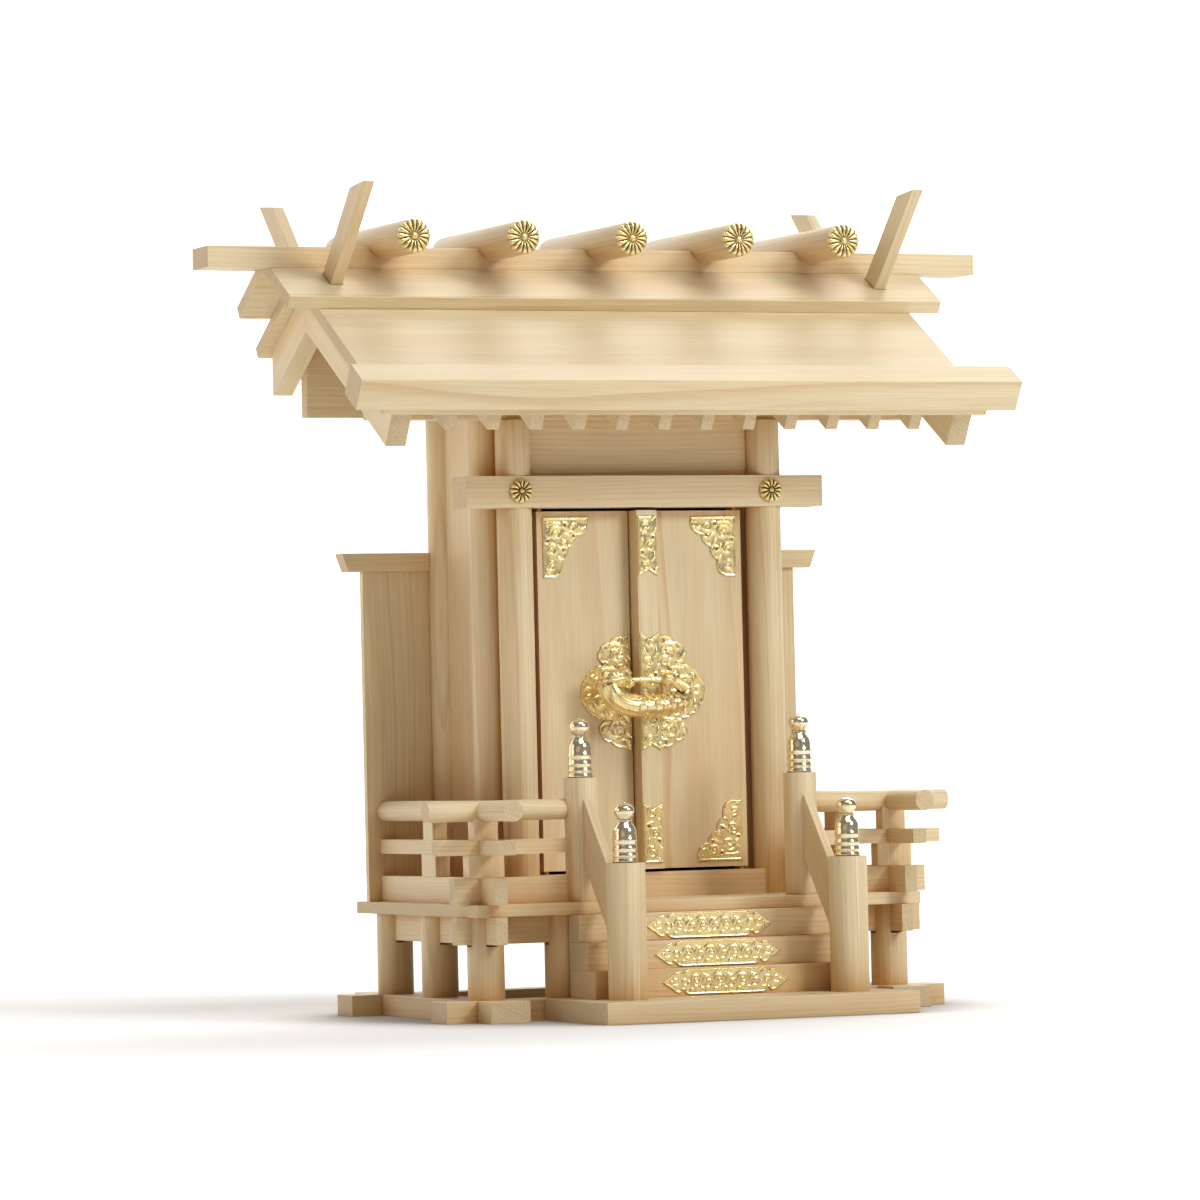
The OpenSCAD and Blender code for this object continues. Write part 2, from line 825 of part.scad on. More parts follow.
module log_caps() {
    gilt() for (i = [0:log_count - 1])
        translate([log_x(i), -log_len / 2, log_z]) rotate([90, 0, 0]) flower(log_d, cap_t);
}

module side_screens() {
    wood() difference() {
        both_sides() box(body_post_x, screen_x, screen_y, screen_y + screen_t, deck_top, screen_top);
        body_post_cuts();
    }
}

// Caps on the screens, undercut at their outer ends
module screen_caps() {
    x1 = screen_x + screen_cap_over;
    y1 = screen_y + screen_t / 2 + screen_cap_w / 2;
    wood() difference() {
        both_sides() plate_front(y1, screen_cap_w) polygon([
            [body_post_x, screen_top],
            [x1 - screen_cap_cut, screen_top],
            [x1, screen_top + screen_cap_h],
            [body_post_x, screen_top + screen_cap_h]
        ]);
        body_post_cuts();
    }
}

module newel_cut() {
    upright(stair_post_x, -rear_newel_y, rear_newel_d, deck_top - over, rear_newel_top);
}

module side_top_rail() {
    translate([rail_x, screen_y, top_rail_z]) rotate([90, 0, 0])
        cylinder(h = rail_y + top_reach_y + screen_y, d = top_rail_d);
}

// Square side rail, halved above where the front rail crosses it
module square_side_rail(w, h, z, reach) {
    difference() {
        box(rail_x - w / 2, rail_x + w / 2, -rail_y - reach, screen_y, z, z + h);
        box(rail_x - w, rail_x + w, -rail_y - w / 2, -rail_y + w / 2, z + h / 2, z + h + over);
    }
}

// Square front rail, halved below where it crosses the side rail
module square_front_rail(w, h, z, reach) {
    difference() {
        box(stair_post_x, rail_x + reach, -rail_y - w / 2, -rail_y + w / 2, z, z + h);
        box(rail_x - w / 2, rail_x + w / 2, -rail_y - w, -rail_y + w, z - over, z + h / 2);
        newel_cut();
    }
}

module side_rails() {
    wood() both_sides() {
        side_top_rail();
        square_side_rail(mid_rail, mid_rail, mid_rail_z - mid_rail / 2, mid_reach_y);
        square_side_rail(low_rail_w, low_rail_h, deck_top, low_reach_y);
    }
}

module front_rails() {
    wood() both_sides() {
        difference() {
            translate([stair_post_x, -rail_y, top_rail_z]) rotate([0, 90, 0])
                cylinder(h = rail_x + top_reach_x - stair_post_x, d = top_rail_d);
            side_top_rail();
            newel_cut();
        }
        square_front_rail(mid_rail, mid_rail, mid_rail_z - mid_rail / 2, mid_reach_x);
        square_front_rail(low_rail_w, low_rail_h, deck_top, low_reach_x);
    }
}

// A stepped strut, slimmer above the middle rail and saddled under the top rail
module strut(x_wide) {
    z0 = deck_top + low_rail_h;
    z1 = mid_rail_z - mid_rail / 2;
    z2 = mid_rail_z + mid_rail / 2;
    wide = x_wide ? [strut_low_w, strut_t] : [strut_t, strut_low_w];
    slim = x_wide ? [strut_w, strut_t] : [strut_t, strut_w];
    translate([0, 0, (z0 + z1) / 2]) cube([wide[0], wide[1], z1 - z0], center = true);
    difference() {
        translate([0, 0, (z2 + top_rail_z) / 2]) cube([slim[0], slim[1], top_rail_z - z2], center = true);
        translate([0, 0, top_rail_z]) rotate([90, 0, 0])
            cylinder(h = strut_low_w * 2, d = top_rail_d, center = true);
        if (x_wide)
            translate([0, 0, top_rail_z]) rotate([0, 90, 0])
                cylinder(h = strut_low_w * 2, d = top_rail_d, center = true);
    }
}

module railing_struts() {
    wood() both_sides() {
        translate([rail_x, -rail_y, 0]) strut(true);
        translate([rail_x, -side_strut_y, 0]) strut(false);
    }
}

module stair_posts() {
    wood() both_sides() {
        upright(stair_post_x, -rear_newel_y, rear_newel_d, deck_top, rear_newel_top);
        upright(stair_post_x, -front_newel_y, front_newel_d, base_h, front_newel_top);
    }
}

// Turned onion finial with a banded foot
module finial(h, d) {
    r = d / 2;
    rotate_extrude() polygon([
        [0, 0], [r * 0.94, 0], [r, h * 0.03], [r, h * 0.08], [r * 0.86, h * 0.1], [r * 0.86, h * 0.2],
        [r * 0.94, h * 0.22], [r * 0.94, h * 0.28], [r * 0.84, h * 0.3], [r * 0.8, h * 0.42],
        [r * 0.66, h * 0.48], [r * 0.5, h * 0.5], [r * 0.5, h * 0.56], [r * 0.66, h * 0.6],
        [r * 0.82, h * 0.68], [r * 0.84, h * 0.76], [r * 0.66, h * 0.85], [r * 0.34, h * 0.9],
        [r * 0.16, h * 0.94], [0, h]
    ]);
}

module stair_post_finials() {
    gilt() both_sides() {
        translate([stair_post_x, -rear_newel_y, rear_newel_top]) finial(finial_h, finial_d);
        translate([stair_post_x, -front_newel_y, front_newel_top]) finial(finial_h, finial_d);
    }
}

// Sloping boards between the stair posts
module stair_rails() {
    y0 = -front_newel_y;
    y1 = -rear_newel_y;
    z0 = front_newel_top - rail_drop_front;
    z1 = rear_newel_top - rail_drop_rear;
    wood() both_sides() difference() {
        sweep_x(stair_post_x - stair_rail_t / 2, stair_post_x + stair_rail_t / 2, [
            [y0, z0],
            [y1, z1],
            [y1, z1 - stair_rail_h],
            [y0, z0 - stair_rail_h]
        ]);
        newel_cut();
        upright(stair_post_x, -front_newel_y, front_newel_d, 0, ridge_top);
        box(0, deck_w, -deck_front, 0, 0, deck_top);
        for (n = [0:step_count - 1])
            box(0, deck_w, -step_front - n * step_run, 0, 0, deck_under - n * step_h);
    }
}

module leaf_pins(x) {
    upright(x, -door_mid, pin_d, leaf_z0 - door_gap - pin_len + pin_end_gap, leaf_z0);
    upright(x, -door_mid, pin_d, leaf_z1, leaf_z1 + door_gap + pin_len - pin_end_gap);
}

module left_door() {
    wood() {
        box(-doors_w / 2, leaf_seam - leaf_gap / 2, -door_face, -door_face + door_t, leaf_z0, leaf_z1);
        leaf_pins(-hinge_x);
    }
}

module right_door() {
    wood() {
        box(leaf_seam + leaf_gap / 2, doors_w / 2, -door_face, -door_face + door_t, leaf_z0, leaf_z1);
        box(-stile_w / 2, stile_w / 2, -door_face - stile_t, -door_face, leaf_z0, leaf_z1);
        leaf_pins(hinge_x);
    }
}

// Corner plate with a stepped, cusped inner edge, its corner at the origin
module corner_plate_outline() {
    r = corner_w / 4;
    difference() {
        polygon([[0, 0], [corner_w, 0], [corner_w, -r], [r, -corner_h], [0, -corner_h]]);
        translate([corner_w, -corner_h * 0.36]) circle(r = r * 0.8, $fn = 24);
        translate([corner_w * 0.62, -corner_h * 0.72]) circle(r = r * 0.8, $fn = 24);
    }
}

// Right half of the round cusped door plate
module medal_outline() {
    difference() {
        for (turn = [0:90:270])
            rotate(turn) translate([medal_r * 0.35, 0]) circle(r = medal_r * 0.65, $fn = 48);
        circle(r = medal_r * 0.42);
    }
}

module medal_half(x0, x1) {
    intersection() {
        translate([0, medal_z]) medal_outline();
        translate([x0, 0]) square([x1 - x0, ridge_top]);
    }
}

module left_door_plates() {
    gilt() plate_front(-door_face, plate_t) {
        translate([-doors_w / 2 + corner_margin, leaf_z1 - corner_margin]) corner_plate_outline();
        medal_half(-medal_r * 2, leaf_seam - leaf_gap);
    }
}

module right_door_plates() {
    x = doors_w / 2 - corner_margin;
    s = stile_plate_w;
    gilt() {
        plate_front(-door_face, plate_t) {
            translate([x, leaf_z1 - corner_margin]) mirror([1, 0]) corner_plate_outline();
            translate([x, leaf_z0 + corner_margin]) rotate(180) corner_plate_outline();
            medal_half(stile_w / 2 + leaf_gap, medal_r * 2);
        }
        plate_front(-door_face - stile_t, plate_t) {
            for (z = [leaf_z1 - corner_margin - stile_plate_h, leaf_z0 + corner_margin])
                translate([-s / 2, z]) square([s, stile_plate_h]);
            translate([-s / 2, medal_z - medal_r]) square([s, medal_r * 2]);
        }
    }
}

// Padlock: a crescent body between two knobs under a straight bar, laid on the stile's plate
module door_lock() {
    y = -door_face - stile_t - plate_t;
    half = lock_span / 2;
    z = lock_z + lock_bar_h / 2;
    r = (half * half + lock_sag * lock_sag) / 2 / lock_sag;
    bend = 2 * atan2(half, r - lock_sag);
    gilt() translate([lock_x, 0, 0]) {
        translate([0, y - lock_d / 2 - lock_lift, z + r - lock_sag]) rotate([90, 0, 0])
            rotate(-90 - bend / 2) rotate_extrude(angle = bend, $fn = 96)
                translate([r, 0]) circle(d = lock_d, $fn = 24);
        box(-half, half, y - lock_d * 0.7, y, lock_z, lock_z + lock_bar_h);
        for (x = [-half, half])
            translate([x, y, z]) rotate([90, 0, 0]) cylinder(h = lock_d + 2 * lock_lift, d = lock_knob_d);
    }
}

module placed() {
    translate([0, ridge_y, 0]) children();
}

placed() base_front_rail();
placed() base_rear_rail();
placed() base_side_rails();
placed() stair_platform();
placed() lower_step();
placed() middle_step();
placed() upper_step();
placed() step_plates();
placed() deck_posts();
placed() deck_side_beams();
placed() deck_cross_beams();
placed() deck_board();
placed() rear_posts();
placed() middle_posts();
placed() front_posts();
placed() side_walls();
placed() back_wall();
placed() front_wall();
placed() door_sill();
placed() lintel();
placed() lintel_studs();
placed() transom_panel();
placed() front_purlin();
placed() rear_purlin();
placed() front_roof();
placed() rear_roof();
placed() eave_bar();
placed() rafters();
placed() front_bargeboards();
placed() rear_bargeboards();
placed() front_ridge_cover();
placed() rear_ridge_cover();
placed() ridge_beam();
placed() ridge_logs();
placed() log_caps();
placed() crossed_finials();
placed() side_screens();
placed() screen_caps();
placed() side_rails();
placed() front_rails();
placed() railing_struts();
placed() stair_posts();
placed() stair_post_finials();
placed() stair_rails();
placed() left_door();
placed() right_door();
placed() left_door_plates();
placed() right_door_plates();
placed() door_lock();
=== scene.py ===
"""Looks of a small cypress altar shrine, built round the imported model."""
import math

import bmesh
import bpy
import numpy as np
from mathutils import Matrix, Vector


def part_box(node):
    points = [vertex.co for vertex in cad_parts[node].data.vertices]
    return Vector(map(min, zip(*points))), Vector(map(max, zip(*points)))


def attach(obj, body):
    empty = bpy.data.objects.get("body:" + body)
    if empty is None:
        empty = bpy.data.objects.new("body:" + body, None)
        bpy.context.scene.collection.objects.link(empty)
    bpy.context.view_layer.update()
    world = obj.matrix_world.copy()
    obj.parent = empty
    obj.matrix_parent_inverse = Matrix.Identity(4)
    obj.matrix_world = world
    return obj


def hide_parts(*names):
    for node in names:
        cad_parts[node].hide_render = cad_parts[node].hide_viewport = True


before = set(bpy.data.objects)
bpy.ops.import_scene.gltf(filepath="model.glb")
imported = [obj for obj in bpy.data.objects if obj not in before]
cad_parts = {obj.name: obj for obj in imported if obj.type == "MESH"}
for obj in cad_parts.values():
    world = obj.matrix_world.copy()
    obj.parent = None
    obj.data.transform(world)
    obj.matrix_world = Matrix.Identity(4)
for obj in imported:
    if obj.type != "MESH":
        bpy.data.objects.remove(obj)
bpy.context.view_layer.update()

MM = 0.001


def middle(node, axis):
    low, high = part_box(node)
    return (low[axis] + high[axis]) / 2


RIDGE_Y = middle("ridge_beam", 1)

# Camera, measured from the ridge line: place in metres, angles in radians
CAMERA_PLACE = Vector((-1.45462, -3.37414, 0.15077))
CAMERA_YAW = 0.4070871
CAMERA_PITCH = 0.0241841
CAMERA_ROLL = -0.0227928
CAMERA_FOCAL_PX = 6243.93
PHOTO_PX = 1200
SENSOR_MM = 36


def make_camera():
    level_ahead = Vector((math.sin(CAMERA_YAW), math.cos(CAMERA_YAW), 0))
    level_right = Vector((math.cos(CAMERA_YAW), -math.sin(CAMERA_YAW), 0))
    up = Vector((0, 0, 1))
    ahead = level_ahead * math.cos(CAMERA_PITCH) + up * math.sin(CAMERA_PITCH)
    over = up * math.cos(CAMERA_PITCH) - level_ahead * math.sin(CAMERA_PITCH)
    right = level_right * math.cos(CAMERA_ROLL) + over * math.sin(CAMERA_ROLL)
    over = over * math.cos(CAMERA_ROLL) - level_right * math.sin(CAMERA_ROLL)
    data = bpy.data.cameras.new("camera")
    data.sensor_width = SENSOR_MM
    data.lens = CAMERA_FOCAL_PX / PHOTO_PX * SENSOR_MM
    data.clip_end = 100
    camera = bpy.data.objects.new("camera", data)
    turn = Matrix((right, over, -ahead)).transposed().to_4x4()
    place = CAMERA_PLACE + Vector((0, RIDGE_Y, 0))
    camera.matrix_world = Matrix.Translation(place) @ turn
    bpy.context.collection.objects.link(camera)
    bpy.context.scene.camera = camera


# Node tree helpers

def add(tree, kind, inputs=None, **settings):
    node = tree.nodes.new(kind)
    for name, value in settings.items():
        setattr(node, name, value)
    for name, value in (inputs or {}).items():
        if isinstance(value, bpy.types.NodeSocket):
            tree.links.new(value, node.inputs[name])
        else:
            node.inputs[name].default_value = value
    return node


def calc(tree, operation, a, b=0.0):
    return add(tree, "ShaderNodeMath", {0: a, 1: b}, operation=operation).outputs[0]


def blend_colour(tree, amount, a, b, mode="MIX"):
    node = add(tree, "ShaderNodeMix", {"Factor": amount}, data_type="RGBA", blend_type=mode)
    for socket, value in ((node.inputs[6], a), (node.inputs[7], b)):
        if isinstance(value, bpy.types.NodeSocket):
            tree.links.new(value, socket)
        else:
            socket.default_value = value
    return node.outputs[2]


def rescale(tree, value, low, high, out_low=0.0, out_high=1.0):
    ends = {"Value": value, "From Min": low, "From Max": high, "To Min": out_low, "To Max": out_high}
    return add(tree, "ShaderNodeMapRange", ends, interpolation_type="SMOOTHSTEP").outputs[0]


def parts_of(tree, vector):
    return add(tree, "ShaderNodeSeparateXYZ", {0: vector}).outputs


def join(tree, x, y, z):
    return add(tree, "ShaderNodeCombineXYZ", {0: x, 1: y, 2: z}).outputs[0]


def drawn_noise(tree, point, along, across_scale, along_scale, detail):
    """Noise that is drawn out along one axis."""
    scales = [across_scale] * 3
    scales[along] = along_scale
    place = add(tree, "ShaderNodeVectorMath", {0: point, 1: scales}, operation="MULTIPLY").outputs[0]
    return add(tree, "ShaderNodeTexNoise", {"Vector": place, "Scale": 1.0, "Detail": detail})


def openness(tree, reach, samples):
    """1 where nothing is near, and down to 0 in a closed corner."""
    node = add(tree, "ShaderNodeAmbientOcclusion", {"Distance": reach}, samples=samples)
    return node.outputs["AO"]


def new_material(name):
    material = bpy.data.materials.new(name)
    material.use_nodes = True
    tree = material.node_tree
    return material, tree, tree.nodes["Principled BSDF"]


# Wood: growth rings round a far pith, so that faces show lines and ends show arcs
EARLY_WOOD = (0.80, 0.68, 0.45, 1)
LATE_WOOD = (0.67, 0.46, 0.24, 1)
WARM_PATCH = (0.77, 0.61, 0.37, 1)
END_GRAIN = (0.68, 0.55, 0.35, 1)
RING_SPACING = 2.3 * MM
# How far the rings swing along a board, and how far wide and narrow years shift them
RING_WAVER = 24 * MM
YEAR_WAVER = 9 * MM
GRAIN_RELIEF = 0.06 * MM
WOOD_SHINE = 0.7
WOOD_SHEEN = 0.3
SHEEN_ROUGHNESS = 0.45
# Painted shade: wood is drawn in a deeper, honey tone where ambient occlusion finds it closed in, where shadow falls
PAINTED_SHADE_TONE = (0.88, 0.63, 0.35, 1)
PAINTED_SHADE_REACH = 60 * MM
AXES = {"X": 0, "Y": 1, "Z": 2}


def wood(name, axis, pith=(0.31, 0.23), tilt=0.0, fold=False, contrast=0.5, paint_shade=True):
    """Planed cypress with its fibres along an axis; fold mirrors the pattern behind the ridge line."""
    material, tree, shader = new_material(name)
    coords = add(tree, "ShaderNodeTexCoord")
    point = coords.outputs["Object"]
    normal = coords.outputs["Normal"]
    if fold:
        x, y, z = parts_of(tree, point)
        off_ridge = calc(tree, "SUBTRACT", y, RIDGE_Y)
        point = join(tree, x, calc(tree, "ABSOLUTE", off_ridge), z)
        x, y, z = parts_of(tree, normal)
        normal = join(tree, x, calc(tree, "MULTIPLY", y, calc(tree, "SIGN", off_ridge)), z)
    if tilt:
        turned_back = {"Axis": (1, 0, 0), "Angle": -tilt}
        point = add(tree, "ShaderNodeVectorRotate", {**turned_back, "Vector": point}).outputs[0]
        normal = add(tree, "ShaderNodeVectorRotate", {**turned_back, "Vector": normal}).outputs[0]
    along = AXES[axis]
    across = [i for i in range(3) if i != along]

    # Slow waver of the rings along the board
    waver = parts_of(tree, drawn_noise(tree, point, along, 9.0, 2.2, 2.0).outputs["Color"])
    place = parts_of(tree, point)
    squares = []
    for order, index in enumerate(across):
        shift = calc(tree, "MULTIPLY", waver[order], RING_WAVER)
        offset = calc(tree, "ADD", place[index], shift)
        offset = calc(tree, "ADD", offset, pith[order])
        squares.append(calc(tree, "MULTIPLY", offset, offset))
    radius = calc(tree, "SQRT", calc(tree, "ADD", squares[0], squares[1]))

    # Years of uneven growth, then one saw-toothed ring after another
    growth = add(tree, "ShaderNodeTexNoise", {"W": radius, "Scale": 45.0, "Detail": 2.0}, noise_dimensions="1D")
    grown = calc(tree, "ADD", radius, calc(tree, "MULTIPLY", growth.outputs[0], YEAR_WAVER))
    ring = calc(tree, "FRACT", calc(tree, "DIVIDE", grown, RING_SPACING))
    late = calc(tree, "MULTIPLY", rescale(tree, ring, 0.35, 0.9), rescale(tree, ring, 1.0, 0.93))
    strength = add(tree, "ShaderNodeTexNoise", {"W": radius, "Scale": 160.0, "Detail": 1.0}, noise_dimensions="1D")
    late = calc(tree, "MULTIPLY", late, rescale(tree, strength.outputs[0], 0.3, 0.75, 0.15, 1.0))

    # Fibres and broad warm patches, drawn out along the board
    fibre = drawn_noise(tree, point, along, 1500.0, 22.0, 3.0).outputs[0]
    patch = drawn_noise(tree, point, along, 60.0, 5.0, 4.0).outputs[0]
    body = blend_colour(tree, rescale(tree, patch, 0.35, 0.7), EARLY_WOOD, WARM_PATCH)
    body = blend_colour(tree, calc(tree, "MULTIPLY", late, contrast), body, LATE_WOOD)
    tone = rescale(tree, fibre, 0.3, 0.7, 0.93, 1.03)
    body = blend_colour(tree, 1.0, body, join(tree, tone, tone, tone), "MULTIPLY")
    # Painted shade: closed-in places take the deeper tone, standing in for shadow
    if paint_shade:
        painted_shade = rescale(tree, openness(tree, PAINTED_SHADE_REACH, 4), 0.1, 0.75, 1.0, 0.0)
        body = blend_colour(tree, painted_shade, body, blend_colour(tree, 1.0, body, PAINTED_SHADE_TONE, "MULTIPLY"))

    # End grain shows where the face looks along the fibres
    facing = calc(tree, "ABSOLUTE", parts_of(tree, normal)[along])
    ends = rescale(tree, facing, 0.75, 0.95)
    pores = add(tree, "ShaderNodeTexNoise", {"Vector": point, "Scale": 1400.0, "Detail": 2.0}).outputs[0]
    end_tone = blend_colour(tree, calc(tree, "MULTIPLY", late, 0.7), END_GRAIN, LATE_WOOD)
    tone = rescale(tree, pores, 0.35, 0.65, 0.86, 1.05)
    end_tone = blend_colour(tree, 1.0, end_tone, join(tree, tone, tone, tone), "MULTIPLY")
    tree.links.new(blend_colour(tree, ends, body, end_tone), shader.inputs["Base Color"])

    rough = calc(tree, "ADD", rescale(tree, fibre, 0.3, 0.7, 0.46, 0.56), calc(tree, "MULTIPLY", ends, 0.2))
    tree.links.new(rough, shader.inputs["Roughness"])
    height = calc(tree, "ADD", calc(tree, "MULTIPLY", late, 0.6), calc(tree, "MULTIPLY", fibre, 0.5))
    bump = add(tree, "ShaderNodeBump", {"Height": height, "Strength": 0.25, "Distance": GRAIN_RELIEF})
    tree.links.new(bump.outputs[0], shader.inputs["Normal"])
    shader.inputs["Specular IOR Level"].default_value = WOOD_SHINE
    shader.inputs["Sheen Weight"].default_value = WOOD_SHEEN
    shader.inputs["Sheen Roughness"].default_value = SHEEN_ROUGHNESS
    return material


# Painted shade: the dark tone drawn into the pits and crevices of the gilt relief, and how far round it looks for
# closed-in places
PAINTED_CREVICE_SHADE = (0.20, 0.12, 0.03, 1)
CREVICE_SHADE_REACH = 1.4 * MM
CLOUD_SCALE = 260.0
GRIT_SCALE = 900.0
GRIT_RELIEF = 0.05 * MM


def gilding(name, colour, dark, rough, metallic):
    """Bright plating with a faint cloudiness, and painted shade: a dark tone in its small pits and crevices."""
    material, tree, shader = new_material(name)
    point = add(tree, "ShaderNodeTexCoord").outputs["Object"]
    cloud = add(tree, "ShaderNodeTexNoise", {"Vector": point, "Scale": CLOUD_SCALE, "Detail": 3.0}).outputs[0]
    plated = blend_colour(tree, rescale(tree, cloud, 0.35, 0.8, 0.0, 0.6), colour, dark)
    # Painted shade where ambient occlusion finds a pit or groove
    crevice_shade = rescale(tree, openness(tree, CREVICE_SHADE_REACH, 8), 0.35, 0.85, 1.0, 0.0)
    tree.links.new(blend_colour(tree, crevice_shade, plated, PAINTED_CREVICE_SHADE), shader.inputs["Base Color"])
    tree.links.new(rescale(tree, cloud, 0.3, 0.7, rough, rough * 1.7), shader.inputs["Roughness"])
    grit = add(tree, "ShaderNodeTexNoise", {"Vector": point, "Scale": GRIT_SCALE, "Detail": 2.0}).outputs[0]
    bump = add(tree, "ShaderNodeBump", {"Height": grit, "Strength": 0.15, "Distance": GRIT_RELIEF})
    tree.links.new(bump.outputs[0], shader.inputs["Normal"])
    shader.inputs["Metallic"].default_value = metallic
    return material


ROOF_PITCH = math.radians(31)
FINIAL_LEAN = math.radians(45)
STAIR_SLOPE = math.radians(50)
wood_along = {
    "wood_lengthways": wood("wood_lengthways", "X"),
    "wood_roof": wood("wood_roof", "X", pith=(0.52, 0.05), contrast=0.55, paint_shade=False),
    "wood_depthways": wood("wood_depthways", "Y", pith=(0.27, 0.33)),
    "wood_upright": wood("wood_upright", "Z", pith=(0.36, 0.21)),
    "wood_doors": wood("wood_doors", "Z", pith=(0.08, 0.42), contrast=0.6),
    "wood_sloping": wood("wood_sloping", "Y", pith=(0.22, 0.31), tilt=-ROOF_PITCH, fold=True, paint_shade=False),
    "wood_finials": wood("wood_finials", "Y", pith=(0.22, 0.31), tilt=FINIAL_LEAN, fold=True, paint_shade=False),
    "wood_stair_rail": wood("wood_stair_rail", "Y", pith=(0.19, 0.29), tilt=STAIR_SLOPE),
}
NODES_BY_WOOD = {
    "wood_lengthways": (
        "base_front_rail", "base_rear_rail", "stair_platform", "lower_step", "middle_step", "upper_step",
        "deck_cross_beams", "deck_board", "door_sill", "lintel", "transom_panel", "front_purlin",
        "rear_purlin", "ridge_beam", "screen_caps", "front_rails"),
    "wood_roof": ("front_roof", "rear_roof", "eave_bar", "front_ridge_cover", "rear_ridge_cover"),
    "wood_depthways": ("base_side_rails", "deck_side_beams", "side_rails", "ridge_logs"),
    "wood_upright": (
        "deck_posts", "rear_posts", "middle_posts", "front_posts", "side_walls", "back_wall", "front_wall",
        "side_screens", "railing_struts", "stair_posts"),
    "wood_doors": ("left_door", "right_door"),
    "wood_sloping": ("rafters", "front_bargeboards", "rear_bargeboards"),
    "wood_finials": ("crossed_finials",),
    "wood_stair_rail": ("stair_rails",),
}
gilt = gilding("gilt_plating", (0.96, 0.82, 0.46, 1), (0.86, 0.66, 0.28, 1), 0.22, 0.75)
pale_gilt = gilding("pale_gilt_plating", (0.93, 0.83, 0.60, 1), (0.82, 0.69, 0.45, 1), 0.12, 0.72)
EDGE_WIDTH = 0.45 * MM
EDGE_ANGLE = math.radians(35)
WELD_GAP = 0.005 * MM


def soften_edges(piece):
    weld = piece.modifiers.new("join", "WELD")
    weld.merge_threshold = WELD_GAP
    bevel = piece.modifiers.new("edges", "BEVEL")
    bevel.width = EDGE_WIDTH
    bevel.segments = 2
    bevel.limit_method = "ANGLE"
    bevel.angle_limit = EDGE_ANGLE
    bevel.harden_normals = True
    bevel.use_clamp_overlap = True


def dress(node, material):
    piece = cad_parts[node]
    for slot in piece.material_slots:
        slot.material = material


def dress_wood():
    for kind, nodes in NODES_BY_WOOD.items():
        for node in nodes:
            dress(node, wood_along[kind])
            soften_edges(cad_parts[node])


# Sizes of the fittings in millimetres
STEP_PLATE_H = 14.4
CORNER_W = 29
CORNER_H = 35
MEDAL_R = 34
MEDAL_Z = 184.5
STILE_W = 12
STILE_PLATE_H = 34.5
BAR_DROP = 9
FINIAL_H = 34
FINIAL_D = 14.4
STILE_OUT = 11


# Gilt fittings: pressed relief built as height fields, and turned or curved solids

def spiral(x, y, radius, start, turns, hand=1, width=1.0, points=22):
    """A scroll that winds in to its eye, as points with a half width each."""
    line = []
    for i in range(points):
        t = i / (points - 1)
        r = radius * (1 - 0.82 * t)
        turn = math.radians(start) + hand * turns * 2 * math.pi * t
        line.append((x + r * math.cos(turn), y + r * math.sin(turn), width * (1 - 0.35 * t)))
    return line


def leaf(x, y, angle, length, width, bend=0.5, points=9):
    """A tapered leaf that starts at x, y."""
    line = []
    turn = math.radians(angle)
    for i in range(points):
        t = i / (points - 1)
        line.append((x, y, width * (0.25 + 0.75 * math.sin(math.pi * min(1, 0.15 + t * 0.85)))))
        turn += bend / (points - 1)
        x += length / (points - 1) * math.cos(turn)
        y += length / (points - 1) * math.sin(turn)
    return line


def smooth(places, steps=8):
    """Points on a smooth curve through a few places, whatever numbers each place has."""
    line = []
    ends = [places[0], *places, places[-1]]
    for a, b, c, d in zip(ends, ends[1:], ends[2:], ends[3:]):
        for i in range(steps):
            t = i / steps
            line.append(tuple(
                0.5 * (2 * q + (r - p) * t + (2 * p - 5 * q + 4 * r - u) * t ** 2 + (3 * q - p - 3 * r + u) * t ** 3)
                for p, q, r, u in zip(a, b, c, d)))
    return line + [tuple(places[-1])]


def tube(line, parts=48, surface=None):
    """A solid round a plane line of (x, y, radius), closed at both ends; height is measured from the line."""
    verts, faces = [], []
    rows = len(line)
    for k, (x, y, r) in enumerate(line):
        ax, ay, _ = line[max(0, k - 1)]
        bx, by, _ = line[min(rows - 1, k + 1)]
        length = math.hypot(bx - ax, by - ay)
        nx, ny = -(by - ay) / length, (bx - ax) / length
        for i in range(parts):
            turn = 2 * math.pi * i / parts
            out = r * (surface(k / (rows - 1), i / parts) if surface else 1)
            verts.append((x + nx * out * math.cos(turn), y + ny * out * math.cos(turn), out * math.sin(turn)))
    for k in range(rows - 1):
        for i in range(parts):
            j = (i + 1) % parts
            faces.append((k * parts + i, k * parts + j, (k + 1) * parts + j, (k + 1) * parts + i))
    faces.append(tuple(range(parts))[::-1])
    faces.append(tuple((rows - 1) * parts + i for i in range(parts)))
    return verts, faces


def ball(x, y, height, rx, ry, rh, lumps=0.0, parts=40):
    """An ellipsoid, lumpy like a carved curl where lumps is above zero."""
    verts, faces = [], []
    for k in range(1, parts // 2):
        rise = math.pi * k / (parts // 2)
        for i in range(parts):
            turn = 2 * math.pi * i / parts
            out = 1 + lumps * math.sin(5 * turn + 4 * rise) * math.sin(3 * rise)
            wide = out * math.sin(rise)
            verts.append((x + rx * wide * math.cos(turn), y + ry * wide * math.sin(turn),
                          height + rh * out * math.cos(rise)))
    verts += [(x, y, height + rh), (x, y, height - rh)]
    rows = parts // 2 - 1
    for k in range(rows - 1):
        for i in range(parts):
            j = (i + 1) % parts
            faces.append((k * parts + i, k * parts + j, (k + 1) * parts + j, (k + 1) * parts + i))
    for i in range(parts):
        j = (i + 1) % parts
        faces.append((rows * parts, j, i))
        faces.append((rows * parts + 1, (rows - 1) * parts + i, (rows - 1) * parts + j))
    return verts, faces


def turned(strokes, degrees):
    c, s = math.cos(math.radians(degrees)), math.sin(math.radians(degrees))
    return [[(c * x - s * y, s * x + c * y, w) for x, y, w in line] for line in strokes]


